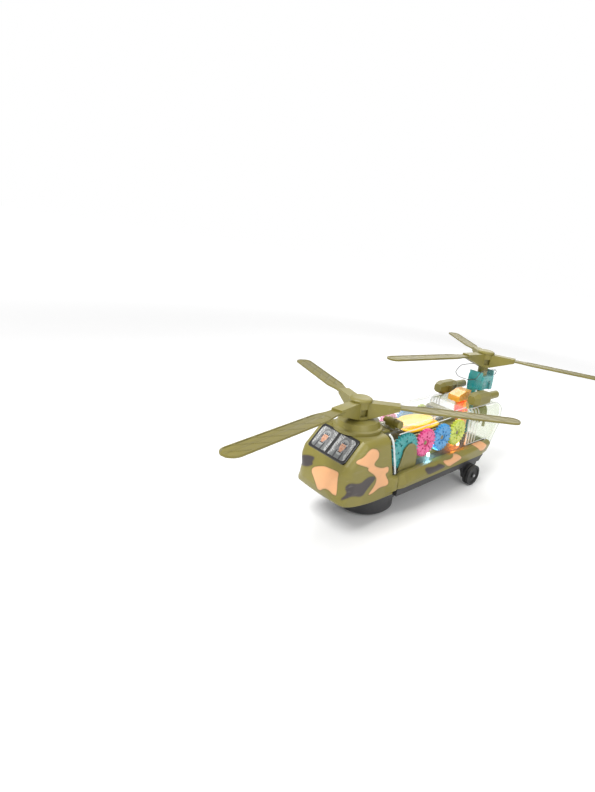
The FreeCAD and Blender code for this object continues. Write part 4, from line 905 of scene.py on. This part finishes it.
def buildDish():
    # an oval bowl: its profile runs from the outer foot up to a rolled rim and down the inside
    middle = sum(edges("light_dish")) / 2
    spread = [0.0, 0.5, 0.56, 0.72, 0.9, 1.0, 1.0, 0.985, 0.955, 0.93, 0.85, 0.7, 0.45, 0.2, 0.0]
    height = [70.4, 70.4, 70.9, 72.6, 75.6, 77.9, 78.7, 79.0, 79.0, 78.6, 76.9, 74.6, 72.9, 72.2, 72.1]
    share, z = dishProfile(spread, height, 80)
    turn = np.linspace(0, 2 * np.pi, 120, endpoint=False)[None]
    pinch = 1 + 0.035 * np.cos(4 * turn)
    x = middle[0] - 0.5 + dish["long"] * share * np.cos(turn) * pinch
    y = middle[1] + dish["short"] * share * np.sin(turn) * pinch
    bowl = np.stack([x, y, z + 0 * turn], -1)
    # the bed below: a rounded tray with a low lip, a superellipse in plan
    flat = [0.0, 0.97, 1.0, 1.0, 0.985, 0.94, 0.92, 0.0]
    rise = [74.0, 74.0, 74.3, 75.9, 76.3, 76.3, 75.5, 75.5]
    share, z = dishProfile(flat, rise, 50)
    power = dish["squareness"]
    x = middle[0] - 1.5 + dish["bedLong"] * share * np.sign(np.cos(turn)) * np.abs(np.cos(turn)) ** power
    y = dish["bedShort"] * share * np.sign(np.sin(turn)) * np.abs(np.sin(turn)) ** power
    bed = np.stack([x, y, z + 0 * turn], -1)
    return makePiece("lightBowl", [(bowl, False, True), (bed, False, True)], "fuselage",
                     materials["yellow"], ("light_dish",), sharp=40)


buildDish()

# vents at the foot of the turret, on the starboard side of the windscreen's top edge
vents = {"count": 6, "length": 7.0, "start": 22.9, "height": 86.15, "firstAngle": -62, "step": 9}


def buildVents():
    sheets = []
    ring = sum(edges("turret_ring")) / 2
    for number in range(vents["count"]):
        angle = math.radians(vents["firstAngle"] + vents["step"] * number)
        far = vents["start"] + vents["length"] * (1 - 0.08 * number)
        run = np.linspace(vents["start"], far, 20)
        path = np.stack([ring[0] + run * math.cos(angle), run * math.sin(angle),
                         np.full(20, vents["height"])], -1)
        keep = (path[:, 0] < 38.0) & (np.abs(path[:, 1]) < 25.0)
        if keep.sum() > 6:
            sheets.append(cappedTube(between(path[keep], 16), 0.45, 8))
    return makePiece("turretVents", sheets, "fuselage", materials["olive"], sharp=60)


buildVents()
print("clear edges, dish and vents done")

# finishes on the carried-over parts
slotOf = {}
for entry in frame["record"].get("subparts", []):
    if isinstance(entry, dict) and "node" in entry:
        slotOf[entry["node"]] = entry.get("material_slot")
special = {"tail_cover": "smoked", "pylon_cover": "clear", "tail_door": "olive"}

for nodeName, item in nodes.items():
    key = special.get(nodeName) or slotOf.get(nodeName)
    if key not in materials and item.data.materials and item.data.materials[0]:
        key = item.data.materials[0].name.split(".")[0]
    for place in range(len(item.material_slots)):
        item.material_slots[place].material = materials.get(key, materials["olive"])
print("carried-over parts finished:", len(nodes))

# camera, floor and lights
view = {"azimuth": 126.72, "elevation": 18.13, "distance": 461.0, "target": (-64.82, 11.51, 93.83),
        "roll": 9.29, "focal": 442.66, "centre": (427.46, 409.4), "frame": (595, 792), "sensor": 36.0}
bpy.context.scene.view_settings.view_transform = "Standard"


def buildCamera():
    a, e = math.radians(view["azimuth"]), math.radians(view["elevation"])
    back = Vector((math.sin(a) * math.cos(e), -math.cos(a) * math.cos(e), math.sin(e)))
    right = back.cross(Vector((0, 0, 1))).normalized() * -1
    up = back.cross(right)
    roll = math.radians(view["roll"])
    right, up = right * math.cos(roll) + up * math.sin(roll), up * math.cos(roll) - right * math.sin(roll)
    place = (Vector(view["target"]) + back * view["distance"]) * mm
    camera = addObject("camera", bpy.data.cameras.new("camera"))
    camera.matrix_world = Matrix([(right[k], up[k], back[k], place[k]) for k in range(3)] + [(0, 0, 0, 1)])
    lens = camera.data
    lens.sensor_width = view["sensor"]
    lens.sensor_fit = "AUTO"
    lens.lens = view["focal"] / view["frame"][1] * view["sensor"]
    lens.shift_x = (view["frame"][0] / 2 - view["centre"][0]) / view["frame"][1]
    lens.shift_y = (view["centre"][1] - view["frame"][1] / 2) / view["frame"][1]
    lens.clip_start = 0.01
    bpy.context.scene.camera = camera


def buildFloor():
    # a flat disc; far from the object it gives off a little light of its own, so that it stays pale
    rings, spokes = 60, 97
    reach, around = np.linspace(0.001, 12.0, rings), np.linspace(0, 2 * np.pi, spokes)
    r, turn = np.meshgrid(reach, around, indexing="ij")
    mesh = bpy.data.meshes.new("floor")
    grid = np.stack([r * np.cos(turn), r * np.sin(turn), 0 * r - 0.0002], -1)
    mesh.from_pydata(grid.reshape(-1, 3).tolist(), [], gridFaces(rings, spokes).tolist())
    floor = addObject("floor", mesh)
    material = plasticMaterial("paleFloor", (0.86, 0.86, 0.86, 1), 0.7, 0.0, 0.0, 60.0, 0.01)
    tree = material.node_tree
    away = addNode(tree, "VectorMath", {0: objectPlace(tree)}, operation="LENGTH").outputs["Value"]
    ownLight = mixColour(tree, ramped(tree, away, 0.45, 1.7), (0.0, 0.0, 0.0, 1.0), (0.5, 0.5, 0.5, 1.0))
    # seen from below it vanishes, so that the underside can be looked at
    behind = addNode(tree, "NewGeometry").outputs["Backfacing"]
    feed(tree, tree.nodes["Principled BSDF"], {
        "Emission Color": ownLight, "Emission Strength": 1.0,
        "Alpha": mathNode(tree, "SUBTRACT", 1.0, behind)})
    mesh.materials.append(material)


def areaLight(name, place, aim, size, power):
    light = addObject(name, bpy.data.lights.new(name, "AREA"))
    light.data.size = size
    light.data.energy = power
    direction = Vector(aim) - Vector(place)
    light.location = place
    light.rotation_euler = direction.to_track_quat("-Z", "Y").to_euler()


def glowLight(name, place, power, colour):
    light = addObject(name, bpy.data.lights.new(name, "POINT"))
    light.data.shadow_soft_size = 0.003
    light.data.energy = power
    light.data.color = colour
    light.location = [value * mm for value in place]


def buildLights():
    world = bpy.data.worlds.new("studio")
    bpy.context.scene.world = world
    world.use_nodes = True
    # the backdrop is seen white, and lights the scene a little less
    tree = world.node_tree
    seen = addNode(tree, "LightPath").outputs["Is Camera Ray"]
    level = addNode(tree, "MapRange", {"Value": seen, "To Min": 0.62, "To Max": 1.0}).outputs[0]
    feed(tree, tree.nodes["Background"], {0: (1.0, 1.0, 1.0, 1.0), 1: level})
    areaLight("key", (0.5, -0.05, 0.85), (0, 0, 0.05), 0.45, 8.0)
    areaLight("fill", (0.15, 0.85, 0.5), (-0.05, 0, 0.05), 0.6, 3.0)
    areaLight("back", (-0.6, -0.3, 0.6), (-0.1, 0, 0.08), 0.5, 3.0)
    glowLight("cyanGlow", (-62, 24, 52), 0.012, (0.35, 0.8, 1.0))
    glowLight("amberGlow", (-108, 25, 54), 0.034, (1.0, 0.24, 0.03))
    glowLight("redGlow", (-138, 4, 84), 0.008, (1.0, 0.1, 0.04))
    glowLight("yellowGlow", (-66, 8, 68), 0.004, (1.0, 0.85, 0.2))
    glowLight("skyGlow", (-24, -18, 84), 0.006, (0.4, 0.8, 1.0))


buildCamera()
buildFloor()
buildLights()
print("camera, floor and lights ready")
